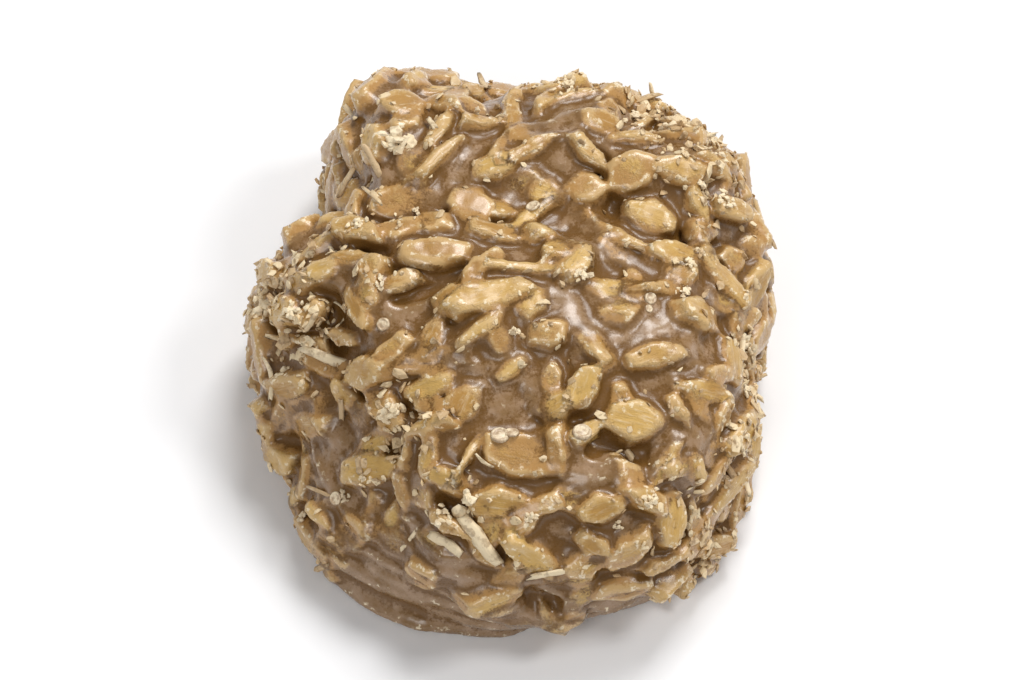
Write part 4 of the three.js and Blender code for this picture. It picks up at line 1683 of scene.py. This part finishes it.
def make_stage(colours):
    """The floor, the soft lights and the camera."""
    scene = bpy.context.scene
    mesh = bpy.data.meshes.new("floor")
    half = FLOOR_WIDTH / 2
    corners = [(-half, -half, 0), (half, -half, 0), (half, half, 0), (-half, half, 0)]
    mesh.from_pydata(corners, [], [(0, 1, 2, 3)])
    floor = bpy.data.objects.new("floor", mesh)
    scene.collection.objects.link(floor)
    mesh.materials.append(floor_material(colours))
    for name, light in LIGHTS.items():
        add_light(name, light)
    world = bpy.data.worlds.new("soft_room")
    world.use_nodes = True
    background = world.node_tree.nodes["Background"]
    background.inputs["Color"].default_value = (*ROOM_COLOUR, 1)
    background.inputs["Strength"].default_value = ROOM_STRENGTH
    scene.world = world
    scene.view_settings.view_transform = "Standard"
    lens = bpy.data.cameras.new("view")
    lens.sensor_width = VIEW_SENSOR
    lens.lens = VIEW_LENS
    camera = bpy.data.objects.new("view", lens)
    scene.collection.objects.link(camera)
    look_at(camera, around_rock(0, VIEW_ELEVATION, VIEW_DISTANCE), VIEW_TARGET)
    scene.camera = camera


def colour_property(name, description, default):
    """A colour that the panel shows, in linear values."""
    return FloatVectorProperty(
        name=name, description=description, default=default, subtype="COLOR", min=0, max=1
    )


class RockSizes(bpy.types.PropertyGroup):
    """Sizes and counts of the rock's pieces."""

    grid_step: FloatProperty(
        name="Grid step",
        description="Spacing of the grid that the coated mound is meshed on",
        default=0.00028,
        unit="LENGTH",
        precision=5,
    )
    crumb_count: IntProperty(name="Crumbs", description="Number of dry crumbs", default=1600)
    crumb_size: FloatProperty(
        name="Crumb size",
        description="Usual width of a crumb",
        default=0.00044,
        unit="LENGTH",
        precision=5,
    )
    shred_count: IntProperty(
        name="Shreds", description="Number of bare shreds beside the named ones", default=40
    )


class RockColours(bpy.types.PropertyGroup):
    """Colours of the chocolate, the coconut and the floor."""

    chocolate: colour_property("Chocolate", "Milk chocolate over the chips", (0.25, 0.139, 0.052))
    # Its pink tint also paints part of the sheen on the chocolate.
    pool: colour_property("Pool", "Thick smooth chocolate", (0.35, 0.218, 0.12))
    glaze: colour_property("Glaze", "Thin chocolate over a chip", (0.435, 0.236, 0.074))
    # Painted shade for the hollows and creases between the chips.
    crease_shade: colour_property("Crease", "Chocolate deep between chips", (0.15, 0.068, 0.012))
    coconut: colour_property("Coconut", "Lightly toasted coconut", (0.64, 0.412, 0.122))
    toasted: colour_property("Toasted", "Well toasted coconut", (0.41, 0.216, 0.05))
    # Also paints glints along the chips' crests.
    edge: colour_property("Edge", "Coconut where the coat is rubbed off", (0.66, 0.455, 0.21))
    cream: colour_property("Cream", "Untoasted inside of the coconut", (0.88, 0.75, 0.53))
    floor: colour_property("Floor", "The floor", (0.9, 0.9, 0.91))


class COCONUT_OT_mound(bpy.types.Operator):
    """Makes the coated mound that stands for the solid"""

    bl_idname = "coconut_rock.mound"
    bl_label = "Coated mound"

    def execute(self, context):
        scene = context.scene
        make_body(scene.rock_sizes, scene.rock_colours)
        return {"FINISHED"}


class COCONUT_OT_crumbs(bpy.types.Operator):
    """Lays dry crumbs on the mound"""

    bl_idname = "coconut_rock.crumbs"
    bl_label = "Crumbs"

    def execute(self, context):
        scene = context.scene
        make_crumbs(scene.rock_sizes, scene.rock_colours)
        return {"FINISHED"}


class COCONUT_OT_lumps(bpy.types.Operator):
    """Lays rough pale lumps of coconut on the mound"""

    bl_idname = "coconut_rock.lumps"
    bl_label = "Pale lumps"

    def execute(self, context):
        make_lumps(context.scene.rock_colours)
        return {"FINISHED"}


class COCONUT_OT_shreds(bpy.types.Operator):
    """Lays bare shreds on the mound"""

    bl_idname = "coconut_rock.shreds"
    bl_label = "Shreds"

    def execute(self, context):
        scene = context.scene
        make_shreds(scene.rock_sizes, scene.rock_colours)
        return {"FINISHED"}


class COCONUT_OT_bubbles(bpy.types.Operator):
    """Lays the rims of burst bubbles in the smooth chocolate"""

    bl_idname = "coconut_rock.bubbles"
    bl_label = "Bubble rims"

    def execute(self, context):
        make_bubbles(context.scene.rock_colours)
        return {"FINISHED"}


class COCONUT_OT_stage(bpy.types.Operator):
    """Sets the floor, the lights and the camera"""

    bl_idname = "coconut_rock.stage"
    bl_label = "Stage"

    def execute(self, context):
        make_stage(context.scene.rock_colours)
        return {"FINISHED"}


OPERATORS = (
    COCONUT_OT_mound,
    COCONUT_OT_crumbs,
    COCONUT_OT_lumps,
    COCONUT_OT_shreds,
    COCONUT_OT_bubbles,
    COCONUT_OT_stage,
)


class COCONUT_PT_panel(bpy.types.Panel):
    """Lists the steps, the sizes and the colours"""

    bl_idname = "COCONUT_PT_panel"
    bl_label = "Coconut rock"
    bl_space_type = "VIEW_3D"
    bl_region_type = "UI"
    bl_category = "Coconut rock"

    def draw(self, context):
        layout = self.layout
        for operator in OPERATORS:
            layout.operator(operator.bl_idname)
        for group in (context.scene.rock_sizes, context.scene.rock_colours):
            column = layout.column()
            for name in type(group).__annotations__:
                column.prop(group, name)


CLASSES = (RockSizes, RockColours, *OPERATORS, COCONUT_PT_panel)


def register():
    for kind in CLASSES:
        bpy.utils.register_class(kind)
    bpy.types.Scene.rock_sizes = PointerProperty(type=RockSizes)
    bpy.types.Scene.rock_colours = PointerProperty(type=RockColours)


def unregister():
    del bpy.types.Scene.rock_colours
    del bpy.types.Scene.rock_sizes
    for kind in reversed(CLASSES):
        bpy.utils.unregister_class(kind)


def main():
    """Makes each piece in its order."""
    register()
    coconut_group(bpy.context.scene.rock_colours)
    bpy.ops.coconut_rock.mound()
    bpy.ops.coconut_rock.crumbs()
    bpy.ops.coconut_rock.lumps()
    bpy.ops.coconut_rock.shreds()
    bpy.ops.coconut_rock.bubbles()
    bpy.ops.coconut_rock.stage()


if __name__ == "__main__":
    main()
